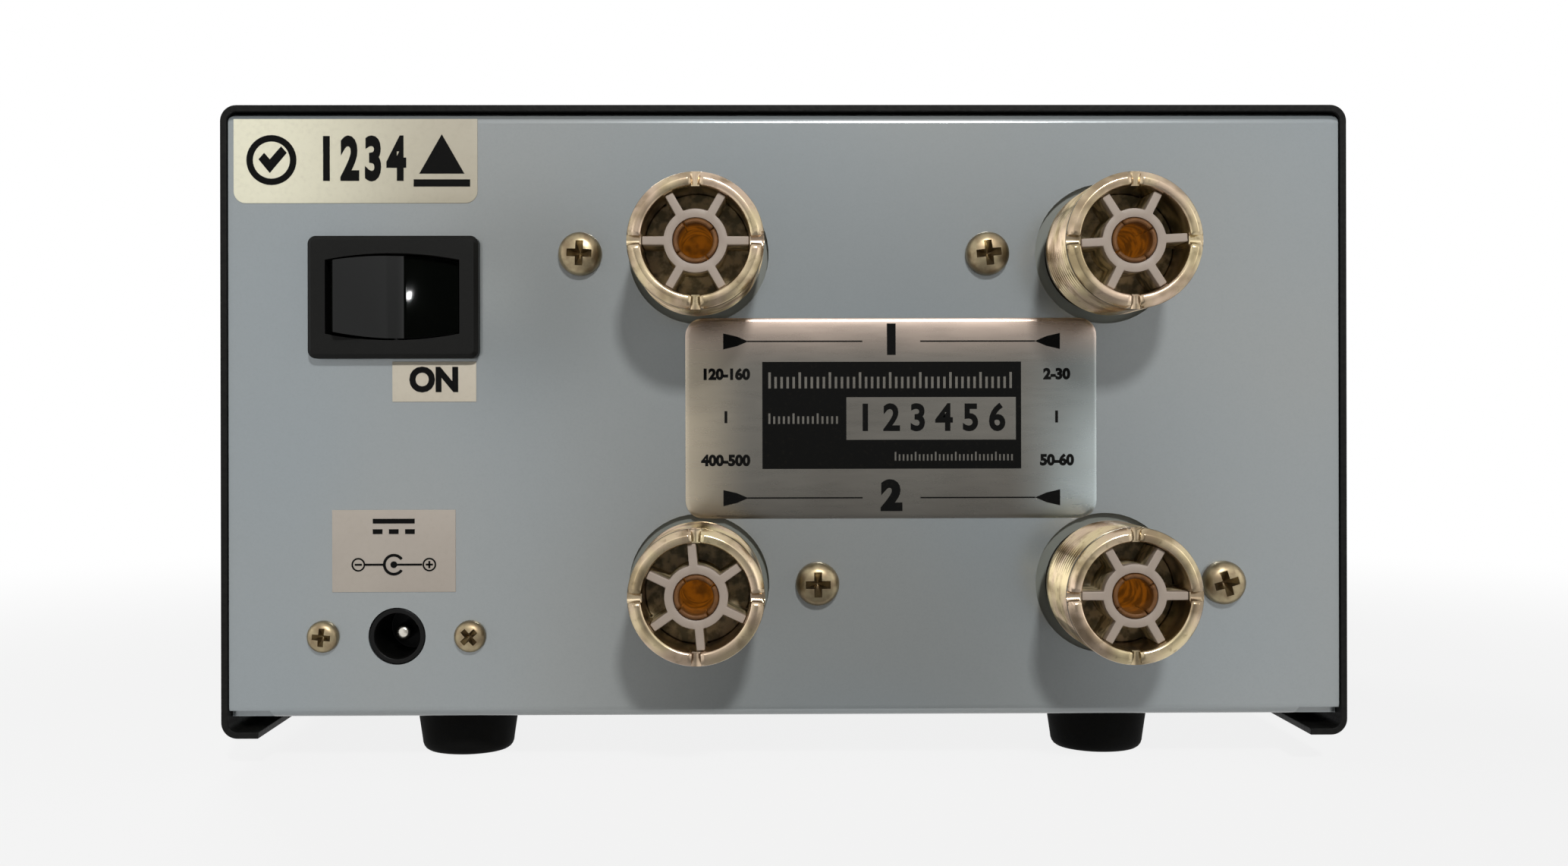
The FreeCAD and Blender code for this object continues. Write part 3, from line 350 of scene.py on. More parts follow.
set_out = Recipe("set_out", Piece="Object", Twist="Float", Seed="Int")
master = set_out.add(
    "GeometryNodeObjectInfo", {"Object": set_out.given("Piece")}, "Geometry",
    transform_space="ORIGINAL",
)
facing = set_out.add(
    "GeometryNodeInputNamedAttribute", {"Name": "facing"}, data_type="FLOAT_VECTOR"
)
copies = set_out.add(
    "GeometryNodeInstanceOnPoints",
    {"Points": set_out.given("Geometry"), "Instance": master, "Rotation": facing},
)
most = set_out.given("Twist")
twist = set_out.add(
    "FunctionNodeRandomValue", {2: most * -1, 3: most, 8: set_out.given("Seed")}, 1,
    data_type="FLOAT",
)
twist = set_out.add("ShaderNodeCombineXYZ", {"Z": twist})
copies = set_out.add(
    "GeometryNodeRotateInstances", {"Instances": copies, "Rotation": twist, "Local Space": True}
)
set_out.close(copies)


def repeated(name, original, places, facings, finish, twist=0.0, seed=0):
    """Copies of one piece at these places, in millimetres, as one plain mesh.

    facings has each copy's turn in radians. The original is used up.
    """
    points = bpy.data.meshes.new("places")
    points.from_pydata([Vector(place) * MM for place in places], [], [])
    facing = points.attributes.new("facing", "FLOAT_VECTOR", "POINT")
    facing.data.foreach_set("vector", [value for turn in facings for value in turn])
    made = set_out.run(name, points, Piece=original, Twist=twist, Seed=seed, Material=finish)
    bpy.data.objects.remove(original)
    return made


rubber = Finish("foot_rubber")
bloom = rubber.noise(0.002, 5.0)
rubber_black = rubber.close(
    Base_Color=rubber.blend(bloom.step(0.45, 0.85), tone(9, 9, 8), tone(18, 17, 15)),
    Roughness=0.66 + bloom * 0.2,
    Specular_IOR_Level=0.08,
    Normal=rubber.relief(rubber.noise(0.0004, 3.0), 0.00002),
)
foot = finished("foot", turned(FOOT_PROFILE))
feet = repeated("moulded_feet", foot, FOOT_PLACES, [(0, 0, 0)] * 4, rubber_black, ANY_TURN, 4)
fitted(feet, "rubber_feet")

# Cover screws: four M3 pan-head machine screws, blacked, two on each side of the case. Each
# has a rolled thread and a cross recess pressed into its head.
COVER_SCREW_PLACES = [(70 * side, y, 12.5) for side in (-1, 1) for y in (21.1, -21.9)]
M3_PAN = {"head_radius": 2.7, "head_height": 1.98, "shank_radius": 1.5, "pitch": 0.5}
PAN_DOME = [
    (1.0, 0.03), (1.0, 0.32), (0.975, 0.5), (0.91, 0.68), (0.8, 0.82), (0.62, 0.93), (0.35, 0.99),
]
RECESS_LEVELS = [(1.12, 1.1), (1.0, 0.9), (0.42, 0.18)]
THREAD_ROWS = 6
GROOVE_TOP, GROOVE_SLOPE = 1.16, 1.3
RUN_IN = 0.6

thread_sizes = ("Crest", "Depth", "Pitch", "Start", "End")
cut_thread = Recipe("cut_thread", **dict.fromkeys(thread_sizes, "Float"))
crest, groove_depth, pitch, start, end = [cut_thread.given(label) for label in thread_sizes]
spot = cut_thread.add("GeometryNodeInputPosition")
across = cut_thread.add("ShaderNodeSeparateXYZ", {"Vector": spot})
over, along = across.part("Y"), across.part("Z")
reach = (across * across + over * over) ** 0.5
angle = over.math("ARCTAN2", across) / (2 * math.pi)
phase = (along / pitch - angle).math("FRACT")
groove = (GROOVE_TOP - abs(phase * 2 - 1) * GROOVE_SLOPE).math("MAXIMUM", 0.0)
groove = groove.math("MINIMUM", 1.0)
run_in = pitch * RUN_IN
window = along.step(start, start + run_in) * (1 - along.step(end - run_in, end))
on_wall = reach > crest - 0.02 * MM
scale = (reach - groove_depth * groove * window * on_wall) / reach.math("MAXIMUM", 1e-9)
moved = {"X": across * scale, "Y": over * scale, "Z": along}
moved = cut_thread.add("ShaderNodeCombineXYZ", moved)
threaded = {"Geometry": cut_thread.given("Geometry"), "Position": moved}
cut_thread.close(cut_thread.add("GeometryNodeSetPosition", threaded))


def pan_head_screw(name, length, head_radius, head_height, shank_radius, pitch):
    """A cross-recessed pan-head screw that points down Z, its head standing on z = 0."""
    root_radius, tip = 0.8 * shank_radius, 0.5 * shank_radius
    rows = [(0, -length), (root_radius, -length), (shank_radius, -length + tip)]
    count = int((length - tip) / pitch * THREAD_ROWS)
    rows += [
        (shank_radius, -length + tip + step * pitch / THREAD_ROWS) for step in range(1, count)
    ]
    rows += [(shank_radius, -0.02), (head_radius * 0.97, 0)]
    rows += [(head_radius * share, head_height * rise) for share, rise in PAN_DOME]
    body = finished(name, turned([*rows, (0, head_height)], 48), 40)
    recess = bmesh.new()
    half, arm = 0.17 * head_radius, 0.56 * head_radius
    cross = [(arm, -half), (arm, half), (half, half), (half, arm), (-half, arm), (-half, half)]
    cross += [(-x, -y) for x, y in cross]
    rings = [
        [
            recess.verts.new(Vector((x * share, y * share, head_height * rise)) * MM)
            for x, y in cross
        ]
        for share, rise in RECESS_LEVELS
    ]
    bridged(recess, rings)
    recess.faces.new(rings[0])
    floor_point = recess.verts.new(Vector((0, 0, head_height * 0.02)) * MM)
    bridged(recess, [rings[-1], [floor_point]])
    bmesh.ops.recalc_face_normals(recess, faces=recess.faces)
    punch = finished("punch", recess)
    modifier = body.modifiers.new("recess", "BOOLEAN")
    modifier.operation, modifier.solver, modifier.object = "DIFFERENCE", "EXACT", punch
    pressed = applied(body)
    bpy.data.objects.remove(punch)
    bpy.data.objects.remove(body)
    pressed.set_sharp_from_angle(angle=math.radians(38))
    return cut_thread.run(
        name, pressed, Crest=shank_radius * MM, Depth=(shank_radius - root_radius) * MM,
        Pitch=pitch * MM, Start=-length * MM, End=-0.4 * MM,
    )


blacked = Finish("blacked_steel")
rubbed = blacked.noise(0.0007, 4.0).step(0.5, 0.8)
screw_black = blacked.close(
    Base_Color=blacked.blend(rubbed, tone(30, 30, 31), tone(74, 73, 72)),
    Metallic=1.0,
    Roughness=0.34 + rubbed * 0.15,
)
cover_screws = repeated(
    "blacked_cover_screws", pan_head_screw("m3", 5.0, **M3_PAN), COVER_SCREW_PLACES,
    [(0, math.copysign(math.pi / 2, x), 0) for x, y, z in COVER_SCREW_PLACES],
    screw_black, ANY_TURN, 11,
)
fitted(cover_screws, "cover_screws")

# Panel screws: four M3 pan-head screws, nickel-plated, that draw each coupler box against the
# back of the panel. The plating has a warm champagne tint, with browner smears.
PANEL_FACE = 45.1
PANEL_SCREW_PLACES = [
    (x, PANEL_FACE, z) for x, z in ((-25.15, 64), (25.45, 64), (-54.55, 23), (-3.95, 23))
]
OUT_OF_PANEL = (-math.pi / 2, 0, 0)


def mottled(name, noise, first, second, rough, varied=0.0, span=None, proud=0.0, **sockets):
    """A finish in two tones, mixed by one noise of (size, detail), more sharply if span is given.

    The same noise adds up to varied to the roughness rough, and its relief is proud metres high.
    """
    finish = Finish(name)
    drift = finish.noise(*noise)
    share = drift.step(*span) if span else drift
    if proud:
        sockets["Normal"] = finish.relief(drift, proud)
    return finish.close(
        Base_Color=finish.blend(share, tone(*first), tone(*second)),
        Roughness=rough + drift * varied if varied else rough,
        **sockets,
    )


plating = mottled(
    "champagne_nickel", (0.0012, 3.0), (158, 145, 116), (130, 114, 90),
    rough=0.26, varied=0.2, span=(0.3, 0.7), Metallic=1.0,
)
panel_screws = repeated(
    "plated_panel_screws", pan_head_screw("m3", 8.0, **M3_PAN), PANEL_SCREW_PLACES,
    [OUT_OF_PANEL] * 4, plating, ANY_TURN, 5,
)
fitted(panel_screws, "panel_screws")

# Socket shells: four brass bodies, nickel-plated, each a square flange behind the panel and a
# barrel with a 5/8-24 thread in front of it. The rim has four locating notches, and the plating
# is worn and tarnished brown in patches.
SOCKETS = {
    f"{column}_{level}": (x, z)
    for column, x in (("a", 10.75), ("b", -39.85))
    for level, z in (("low", 23.0), ("high", 64.0))
}
THREAD_CREST = 7.94
THREAD_PITCH = 1.058
THREAD_DEPTH = 0.5
MOUTH_RADIUS = 6.25
SHELL_CUT = 0.4
NOTCH_FLOOR = 15.2
NOTCH_HALF_ANGLE = math.asin(0.55 / 7.1)
SLOTS = 4
BARREL_PROFILE = [
    (MOUTH_RADIUS, SHELL_CUT), (7.1, SHELL_CUT), (7.1, 2.6), (7.5, 2.62),
    *((THREAD_CREST, 2.85 + step * THREAD_PITCH / THREAD_ROWS) for step in range(70)),
    (THREAD_CREST, 15.25), (7.88, 15.36), (7.6, 15.64), (7.32, 15.92), (7.22, 15.985),
    (7.1, 16.0), (6.62, 16.0), (6.45, 15.95), (6.33, 15.82), (MOUTH_RADIUS, 15.55),
    (MOUTH_RADIUS, 8.0),
]


def crowned_tube(profile, half_angle, floor, steps):
    """A tube turned from a closed profile, its upper rim cut down to floor in four slots."""
    shape = bmesh.new()
    columns = []
    land = 2 * math.pi / SLOTS - 2 * half_angle
    for slot in range(SLOTS):
        middle = 2 * math.pi * slot / SLOTS
        columns += [(middle + share * half_angle, floor) for share in (-1, 0, 1)]
        columns += [
            (middle + half_angle + land * step / steps, math.inf) for step in range(steps + 1)
        ]
    rows = [
        [
            shape.verts.new(Vector((r * math.cos(turn), r * math.sin(turn), min(z, top))) * MM)
            for r, z in profile
        ]
        for turn, top in columns
    ]
    bridged(shape, [*rows, rows[0]])
    bmesh.ops.remove_doubles(shape, verts=shape.verts, dist=1e-7)
    bmesh.ops.dissolve_degenerate(shape, edges=shape.edges, dist=1e-7)
    bmesh.ops.recalc_face_normals(shape, faces=shape.faces)
    return shape


def rear_facing(x, z, turn=0.0):
    """Takes a piece that stands up Z to its place on the rear panel, turned about its own axis."""
    place = Matrix.Translation(Vector((x, PANEL_FACE, z)) * MM)
    return place @ Matrix.Rotation(-math.pi / 2, 4, "X") @ Matrix.Rotation(turn, 4, "Z")


def kept_below(node, level):
    """The part of a node that lies behind that level of the panel's outer face, closed again."""
    shape = welded(node)
    cut = bmesh.ops.bisect_plane(
        shape,
        geom=[*shape.verts, *shape.edges, *shape.faces],
        plane_co=Vector((0, PANEL_FACE + level, 0)) * MM,
        plane_no=(0, 1, 0),
        clear_outer=True,
    )
    rim = [e for e in cut["geom_cut"] if isinstance(e, bmesh.types.BMEdge)]
    bmesh.ops.triangle_fill(shape, use_beauty=True, use_dissolve=False, edges=rim)
    return shape


def joined(name, *objects):
    """Several meshes as one object at the origin."""
    shape = bmesh.new()
    for item in objects:
        shape.from_mesh(item.data)
        bpy.data.objects.remove(item)
    return finished(name, shape, 30)


nickel = Finish("plated_socket_nickel")
handled = nickel.noise(0.006, 3.0)
fine = nickel.noise(0.0009, 3.0)
worn_patch = nickel.noise(0.0042, 2.0).step(0.46, 0.66)
nickel_colour = nickel.blend(handled.step(0.35, 0.65), tone(204, 188, 150), tone(196, 174, 152))
nickel_colour = nickel.blend(worn_patch * 0.65, nickel_colour, tone(112, 94, 66))
nickel_plate = nickel.close(
    Base_Color=nickel.blend(fine.step(0.55, 0.8) * 0.5, nickel_colour, tone(104, 90, 62)),
    Metallic=1.0,
    Roughness=0.12 + handled * 0.16 + fine * 0.06,
    Normal=nickel.relief(fine, 0.000006),
)
# The flange and the barrel's foot in the panel hole are painted a dark, dull metal: painted shade
# for the gap round each barrel's base.
dark_flange_painted_shade = mottled(
    "unplated_flange", (0.002, 4.0), (52, 47, 40), (80, 72, 60),
    rough=0.5, varied=0.15, Metallic=0.6,
)
for label, (x, z) in SOCKETS.items():
    tube = finished("tube", crowned_tube(BARREL_PROFILE, NOTCH_HALF_ANGLE, NOTCH_FLOOR, 22))
    barrel = cut_thread.run(
        "barrel", tube.data, Crest=THREAD_CREST * MM, Depth=THREAD_DEPTH * MM,
        Pitch=THREAD_PITCH * MM, Start=2.7 * MM, End=15.1 * MM,
    )
    bpy.data.objects.remove(tube)
    barrel.data.transform(rear_facing(x, z))
    flange = finished("flange", kept_below("socket_shell_" + label, SHELL_CUT))
    flange.data.polygons.foreach_set("material_index", [1] * len(flange.data.polygons))
    shell = joined("threaded_shell_" + label, barrel, flange)
    fitted(shell, "socket_shell_" + label, nickel_plate)
    shell.data.materials.append(dark_flange_painted_shade)

# Socket insulators: a plug behind, and in front of it a hub on thin spokes, whose face is
# greyish pink. The plug is painted a darker, mottled brown, painted shade for the recess behind
# the spokes. It is moulded in satin plastic, with slightly rounded arrises.
PLUG_FACE, HUB_FACE = 13.4, 14.4
MOULDED_EDGE = 0.14


def outwards(finish, low, high):
    """0 behind one level and 1 in front of another, in millimetres from the panel's outer face."""
    return finish.along("Y").step((PANEL_FACE + low) * MM, (PANEL_FACE + high) * MM)


moulded = Finish("insulator_plastic")
flow = moulded.noise(0.003, 3.0)
spider_colour = moulded.blend(flow, tone(176, 162, 148), tone(162, 147, 135))
mottle = moulded.noise(0.0013, 3.0).step(0.38, 0.62)
# The plug's darker brown behind the hub is painted shade for the recess.
plug_brown_and_painted_shade = moulded.blend(mottle, tone(116, 106, 78), tone(200, 182, 146))
in_front = outwards(moulded, PLUG_FACE, HUB_FACE)
insulator_plastic = moulded.close(
    Base_Color=moulded.blend(in_front, plug_brown_and_painted_shade, spider_colour),
    Roughness=0.42 + flow * 0.12,
    Specular_IOR_Level=0.4,
    Normal=moulded.relief(moulded.noise(0.0003, 2.0), 0.000008),
)
for label in SOCKETS:
    dressed(
        "socket_insulator_" + label, MOULDED_EDGE, "spoked_insulator_" + label,
        insulator_plastic, merge=False,
    )

# Centre contacts: gilt brass tubes sprung by four slits, with a solder spigot behind. The gold
# is thin and brown. Deep in the bore the gilt glows a dim amber: painted light for the light
# caught between its walls.
CONTACT_CUT = 4.0
SLIT_HALF_ANGLE = 0.05
SLIT_FLOOR = 9.0
SLIT_TURN = 0.6
CONTACT_PROFILE = [
    (2.0, CONTACT_CUT), (2.6, CONTACT_CUT), (2.6, SLIT_FLOOR), (2.6, 15.1), (2.52, 15.3),
    (2.38, 15.4), (2.26, 15.4), (2.1, 15.3), (2.0, 15.05), (2.0, SLIT_FLOOR),
]

gilt = Finish("gilt_brass")
worn = gilt.noise(0.0008, 4.0)
# The bore's dim amber emission is painted light, a glow for the light caught between its gilt
# walls.
painted_bore_glow = gilt.noise(0.0016, 2.0).step(0.38, 0.62)
painted_bore_glow = gilt.blend(painted_bore_glow, tone(62, 36, 6), tone(104, 58, 8))
in_bore = 1 - outwards(gilt, 11.5, 15.2)
gilt_brass = gilt.close(
    Base_Color=gilt.blend(worn.step(0.3, 0.75), tone(112, 72, 28), tone(92, 56, 18)),
    Metallic=0.25,
    Roughness=0.45 + worn * 0.2,
    Emission_Color=gilt.blend(in_bore, tone(0, 0, 0), painted_bore_glow),
    Emission_Strength=1.0,
)
for label, (x, z) in SOCKETS.items():
    node = "socket_contact_" + label
    tube = crowned_tube(CONTACT_PROFILE, SLIT_HALF_ANGLE, SLIT_FLOOR, 12)
    fingers = finished("fingers", tube)
    fingers.data.transform(rear_facing(x, z, SLIT_TURN))
    spigot = finished("spigot", kept_below(node, CONTACT_CUT))
    contact = joined("slit_contact_" + label, fingers, spigot)
    fitted(contact, node, gilt_brass)

# Coupler boxes: two folded tinplate troughs with lids, soldered over the line of each socket
# pair. The tin has a faint spangle and duller streaks from handling. Its front, where it shows
# through the panel round each barrel, is painted a dull grey: painted shade for the gap.
tin = Finish("tinplate")
spangle = tin.cells(0.003)
streak = tin.noise(0.004, 3.0, (1, 1, 5))
tin_colour = tin.blend(spangle.step(0.1, 0.9), tone(196, 198, 198), tone(170, 173, 176))
# The front wall facing the panel is painted dark and less metallic: painted shade in the gap round
# each barrel.
painted_shade_front = outwards(tin, -1.2, -1.05)
tinplate = tin.close(
    Base_Color=tin.blend(painted_shade_front, tin_colour, tone(122, 126, 120)),
    Metallic=1 - painted_shade_front * 0.9,
    Roughness=0.3 + streak * 0.25,
)


def coated(finish, *names):
    """Gives this finish to solids whose own shapes are kept."""
    for name in names:
        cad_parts[name].material_slots[0].material = finish


coated(tinplate, "coupler_box_a", "coupler_lid_a", "coupler_box_b", "coupler_lid_b")

# Line strips and sensing cores: a flat copper strip joins each pair of centre contacts and
# passes through a ferrite ring, whose grey body is slightly grainy.
copper = mottled(
    "copper_strip", (0.005, 4.0), (205, 128, 92), (148, 92, 66),
    rough=0.28, varied=0.2, span=(0.35, 0.75), Metallic=1.0,
)
ferrite = mottled(
    "ferrite", (0.0006, 4.0), (52, 53, 56), (74, 75, 78),
    rough=0.55, varied=0.2, proud=0.00002,
)
coated(copper, "line_strip_a", "line_strip_b")
coated(ferrite, "sensor_core_a", "sensor_core_b")

# Circuit boards: the front board and a sensing board in each coupler, glass-fibre with green
# resist over copper tracks that show as lighter bands.
TRACKS = {"Scale": 60.0, "Mortar Size": 0.035, "Brick Width": 0.9, "Row Height": 0.16}

board = Finish("board_green")
weave = board.noise(0.0007, 2.0)
track = board.add(
    "ShaderNodeTexBrick", {"Vector": board.place, **TRACKS}, "Fac", offset=0.37
)
board_green = board.close(
    Base_Color=board.blend(track * 0.6 + weave * 0.2, tone(18, 74, 44), tone(54, 122, 78)),
    Roughness=0.32,
    Normal=board.relief(track, 0.00003),
)
coated(board_green, "front_board", "sensor_board_a", "sensor_board_b")

# Small parts on the front board: tact switches and components in plain dark plastic, with a
# sand-blasted surface.
small_black = mottled(
    "small_parts", (0.0003, 3.0), (32, 33, 35), (50, 51, 53), rough=0.5, varied=0.15
)
coated(small_black, "tact_switches", "board_components")

# Supply jack: a moulded black body behind the panel whose round nose fills its hole, held by
# two flanking screws and nuts. Its bore is deep and glossy, with a bright pin in the middle.
JACK_X, JACK_Z = 48.3, 16.6
JACK_EDGE, NUT_EDGE = 0.15, 0.12
JACK_PIN_PROFILE = [
    (0, -10.1), (1.05, -10.1), (1.05, -3.95), (1.0, -3.7), (0.85, -3.48), (0.55, -3.34), (0, -3.3),
]
JACK_SCREW_PLACES = [(JACK_X + offset, PANEL_FACE, JACK_Z) for offset in (9.1, -9.1)]
M2_PAN = {"head_radius": 1.97, "head_height": 1.38, "shank_radius": 1.0, "pitch": 0.4}

jack_black = mottled(
    "jack_plastic", (0.002, 3.0), (7, 7, 7), (13, 13, 12),
    rough=0.3, varied=0.1, Specular_IOR_Level=0.14,
)
dressed("dc_jack_body", JACK_EDGE, "moulded_jack", jack_black)

pin_bright = mottled(
    "pin_nickel", (0.0006, 3.0), (222, 218, 208), (196, 190, 178),
    rough=0.14, varied=0.12, Metallic=1.0,
)
jack_pin = finished("domed_jack_pin", turned(JACK_PIN_PROFILE, 48), 40)
jack_pin.data.transform(rear_facing(JACK_X, JACK_Z))
fitted(jack_pin, "dc_jack_pin", pin_bright)

jack_screws = repeated(
    "plated_jack_screws", pan_head_screw("m2", 7.0, **M2_PAN), JACK_SCREW_PLACES,
    [OUT_OF_PANEL] * 2, plating, ANY_TURN, 8,
)
fitted(jack_screws, "dc_jack_screws")
dressed("dc_jack_nuts", NUT_EDGE, "plated_jack_nuts", plating)

# Rocker switch: a snap-in frame of black nylon with a satin rim, and a glossy see-saw button
# whose two halves slope to a shallow valley. Three tinned tabs stand out behind.
FRAME_EDGE, BUTTON_EDGE = 0.2, 0.35
BUTTON_VALLEY = (12, 2.2, 8)

frame_nylon = mottled(
    "switch_nylon", (0.00035, 3.0), (14, 14, 13), (20, 20, 18),
    rough=0.42, varied=0.12, proud=0.00001, Specular_IOR_Level=0.12,
)
dressed("rocker_frame", FRAME_EDGE, "switch_frame_moulding", frame_nylon)

button_black = mottled(
    "button_gloss", (0.004, 2.0), (5, 7, 6), (9, 10, 8),
    rough=0.02, varied=0.02, Specular_IOR_Level=0.5,
)
dressed(
    "rocker_paddle", BUTTON_EDGE, "see_saw_button", button_black, "rocker",
    valley=BUTTON_VALLEY,
)
coated(pin_bright, "rocker_terminals")

# Front bezel: one ABS moulding that frames the display and carries the keys, with a fine
# spark-eroded texture all over.
BEZEL_EDGE = 0.3

abs_grey = mottled(
    "bezel_abs", (0.0003, 3.0), (38, 39, 41), (50, 51, 53),
    rough=0.46, varied=0.14, proud=0.000015,
)
dressed("front_bezel", BEZEL_EDGE, "textured_bezel", abs_grey)

# Front keys: four moulded push keys in a light grey plastic with softly rounded faces, each
# printed with a plain symbol: power, range, mode and light.
KEYS = {"power": 62.0, "range": 50.0, "mode": 38.0, "light": 26.0}
KEY_X = 50.0
KEY_FACE = -61.1
KEY_EDGE = 0.45
INK_THICKNESS = 0.03
INK_SINK = 0.01
CAP_SHARE = 0.72
TO_FRONT = Matrix(((1, 0, 0, 0), (0, 0, -1, 0), (0, 1, 0, 0), (0, 0, 0, 1)))


def polar(radius, angle, x=0.0, y=0.0):
    """The point that lies that far from another in a direction given in radians."""
    return (x + radius * math.cos(angle), y + radius * math.sin(angle))


def ring(radius, x=0.0, y=0.0, first=0.0, last=360.0, steps=40):
    """Points round a circle, in millimetres, between two angles in degrees."""
    count = steps if last - first >= 360 else steps + 1
    turns = [math.radians(first + (last - first) * step / steps) for step in range(count)]
    return [polar(radius, turn, x, y) for turn in turns]


def bar(x0, y0, x1, y1):
    """A rectangle's corners."""
    return [(x0, y0), (x1, y0), (x1, y1), (x0, y1)]


def arc_band(inner, outer, x, y, first, last):
    """A band between two radii and two angles, as one closed loop."""
    return ring(outer, x, y, first, last, 30) + ring(inner, x, y, first, last, 30)[::-1]


def flat_mesh(curve, thickness):
    """The mesh of a flat curve, stood on z = 0."""
    holder = bpy.data.objects.new("flat", curve)
    mesh = bpy.data.meshes.new_from_object(holder)
    bpy.data.objects.remove(holder)
    mesh.transform(Matrix.Translation((0, 0, thickness / 2)))
    return mesh


def plate_mesh(loops, thickness, edge=0.0):
    """Closed loops in millimetres made a flat plate, its rims rounded by edge."""
    curve = bpy.data.curves.new("plate", "CURVE")
    curve.dimensions, curve.fill_mode = "2D", "BOTH"
    for loop in loops:
        spline = curve.splines.new("POLY")
        spline.points.add(len(loop) - 1)
        spline.points.foreach_set("co", [value for x, y in loop for value in (x, y, 0, 1)])
        spline.use_cyclic_u = True
    curve.extrude = thickness / 2 - edge
    curve.bevel_depth, curve.bevel_resolution, curve.offset = edge, 2, -edge
    return flat_mesh(curve, thickness)


def inked(*drawings):
    """Each drawing, a list of closed loops in millimetres, as a mesh as thin as ink."""
    return [plate_mesh(loops, INK_THICKNESS) for loops in drawings]


def number_mesh(text, height, x, y, weight=0.0, narrow=1.0):
    """Plain figures of that height in millimetres, centred on a point, their width times narrow."""
    curve = bpy.data.curves.new("figures", "FONT")
    curve.body, curve.align_x, curve.align_y = text, "CENTER", "CENTER"
    curve.size, curve.offset = height / CAP_SHARE, weight
    curve.extrude = INK_THICKNESS / 2
    curve.resolution_u = 4
    mesh = flat_mesh(curve, INK_THICKNESS)
    mesh.transform(Matrix.Translation((x, y, 0)) @ Matrix.Diagonal((narrow, 1, 1, 1)))
    return mesh


def laid_on(name, meshes, at, matrix):
    """Flat meshes in millimetres, laid on a surface as one closed piece."""
    shape = bmesh.new()
    for mesh in meshes:
        shape.from_mesh(mesh)
        bpy.data.meshes.remove(mesh)
    bmesh.ops.remove_doubles(shape, verts=shape.verts, dist=1e-5)
    bmesh.ops.recalc_face_normals(shape, faces=shape.faces)
    shape.transform(Matrix.Translation(Vector(at) * MM) @ matrix @ Matrix.Scale(MM, 4))
    return finished(name, shape, 40)


def printed(name, meshes, at, matrix, finish, body="case"):
    """A thin layer laid on a surface, coated, and riding on the body that it lies on."""
    layer = laid_on(name, meshes, at, matrix)
    layer.data.materials.append(finish)
    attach(layer, body)


key_plastic = mottled(
    "key_plastic", (0.0004, 3.0), (178, 180, 180), (164, 166, 167),
    rough=0.4, varied=0.12,
)
key_ink = mottled(
    "key_ink", (0.0005, 3.0), (28, 30, 33), (70, 72, 74), rough=0.5, span=(0.6, 0.9)
)
double_arrow = [(-2.4, 0), (-1.2, 1.0), (-1.2, 0.25), (1.2, 0.25), (1.2, 1.0), (2.4, 0)]
double_arrow += [(1.2, -1.0), (1.2, -0.25), (-1.2, -0.25), (-1.2, -1.0)]
rays = [
    [polar(1.25, t - 0.12), polar(2.0, t - 0.08), polar(2.0, t + 0.08), polar(1.25, t + 0.12)]
    for t in [math.pi * step / 4 for step in range(8)]
]
key_symbols = {
    "power": [arc_band(1.35, 1.75, 0, -0.1, 125, 415), bar(-0.2, 0.3, 0.2, 2.0)],
    "range": [double_arrow],
    "mode": [bar(-1.9, level, 1.9, level + 0.4) for level in (-1.4, -0.2, 1.0)],
    "light": [ring(0.85), *rays],
}
for label, z in KEYS.items():
    node = label + "_key"
    dressed(node, KEY_EDGE, node + "_moulding", key_plastic, node)
    at = (KEY_X, KEY_FACE + INK_SINK, z)
    printed(label + "_symbol", inked(key_symbols[label]), at, TO_FRONT, key_ink, node)

# Display: a clear acrylic window over a liquid-crystal glass on its white light guide. The glass
# shows plain figures and two rows of bars, dark on a greenish grey painted lighter towards the
# top: a painted glow.
LCD_FACE = -57.1
LCD_X, LCD_Z = -14.0, 44.0
LCD_HALF_HEIGHT = 24
FIGURE_WIDTH, FIGURE_HEIGHT, FIGURE_FOOT = 7.0, 14.0, 3.0
HALF_STROKE = 0.75
FIGURES = {"0": "abcdef", "1": "bc", "5": "afgcd"}
SEGMENT_BARS = {
    "a": (0.12, 1.0, 0.88, 1.0), "b": (0.97, 0.9, 0.97, 0.56), "c": (0.97, 0.44, 0.97, 0.1),
    "d": (0.12, 0.0, 0.88, 0.0), "e": (0.03, 0.44, 0.03, 0.1), "f": (0.03, 0.9, 0.03, 0.56),
    "g": (0.12, 0.5, 0.88, 0.5),
}
SHOWN_FIGURES = (("1", -38.0), ("0", -27.0), ("0", -16.0), ("1", 6.0), ("0", 19.0), ("5", 30.0))
BAR_PLACES = [
    (LCD_X - 38.0 + 2.1 * step, LCD_FACE, LCD_Z + level)
    for level, count in ((-6.0, 30), (-14.5, 12))
    for step in range(count)
]

acrylic = Finish("window_acrylic")
window_clear = acrylic.close(
    Base_Color=acrylic.blend(acrylic.noise(0.01), tone(250, 252, 252), tone(246, 249, 250)),
    Roughness=0.03 + acrylic.noise(0.004, 3.0) * 0.04,
    Transmission_Weight=1.0,
    IOR=1.49,
)
cell = Finish("display_cell")
# The glass grey is painted lighter towards the top: painted light, a glow.
painted_glow = cell.along("Z").step((LCD_Z - LCD_HALF_HEIGHT) * MM, (LCD_Z + LCD_HALF_HEIGHT) * MM)
cell_grey = cell.close(
    Base_Color=cell.blend(painted_glow, tone(150, 166, 150), tone(170, 184, 166)),
    Roughness=0.16 + cell.noise(0.01) * 0.05,
)
guide_white = mottled("light_guide", (0.003, 2.0), (232, 233, 230), (220, 222, 220), rough=0.5)
lcd_dark = mottled("display_ink", (0.002, 2.0), (22, 28, 30), (30, 36, 38), rough=0.3)
coated(window_clear, "display_window")
coated(cell_grey, "lcd_glass")
coated(guide_white, "lcd_backlight")


def segment(x0, y0, x1, y1):
    """One bar of a figure, pointed at both ends, that lies flat or runs down."""
    h = HALF_STROKE
    if y0 == y1:
        upper = [(x0, y0), (x0 + h, y0 + h), (x1 - h, y0 + h), (x1, y0)]
        return upper + [(x1 - h, y0 - h), (x0 + h, y0 - h)]
    right = [(x0, y0), (x0 + h, y0 - h), (x0 + h, y1 + h), (x0, y1)]
    return right + [(x0 - h, y1 + h), (x0 - h, y0 - h)]


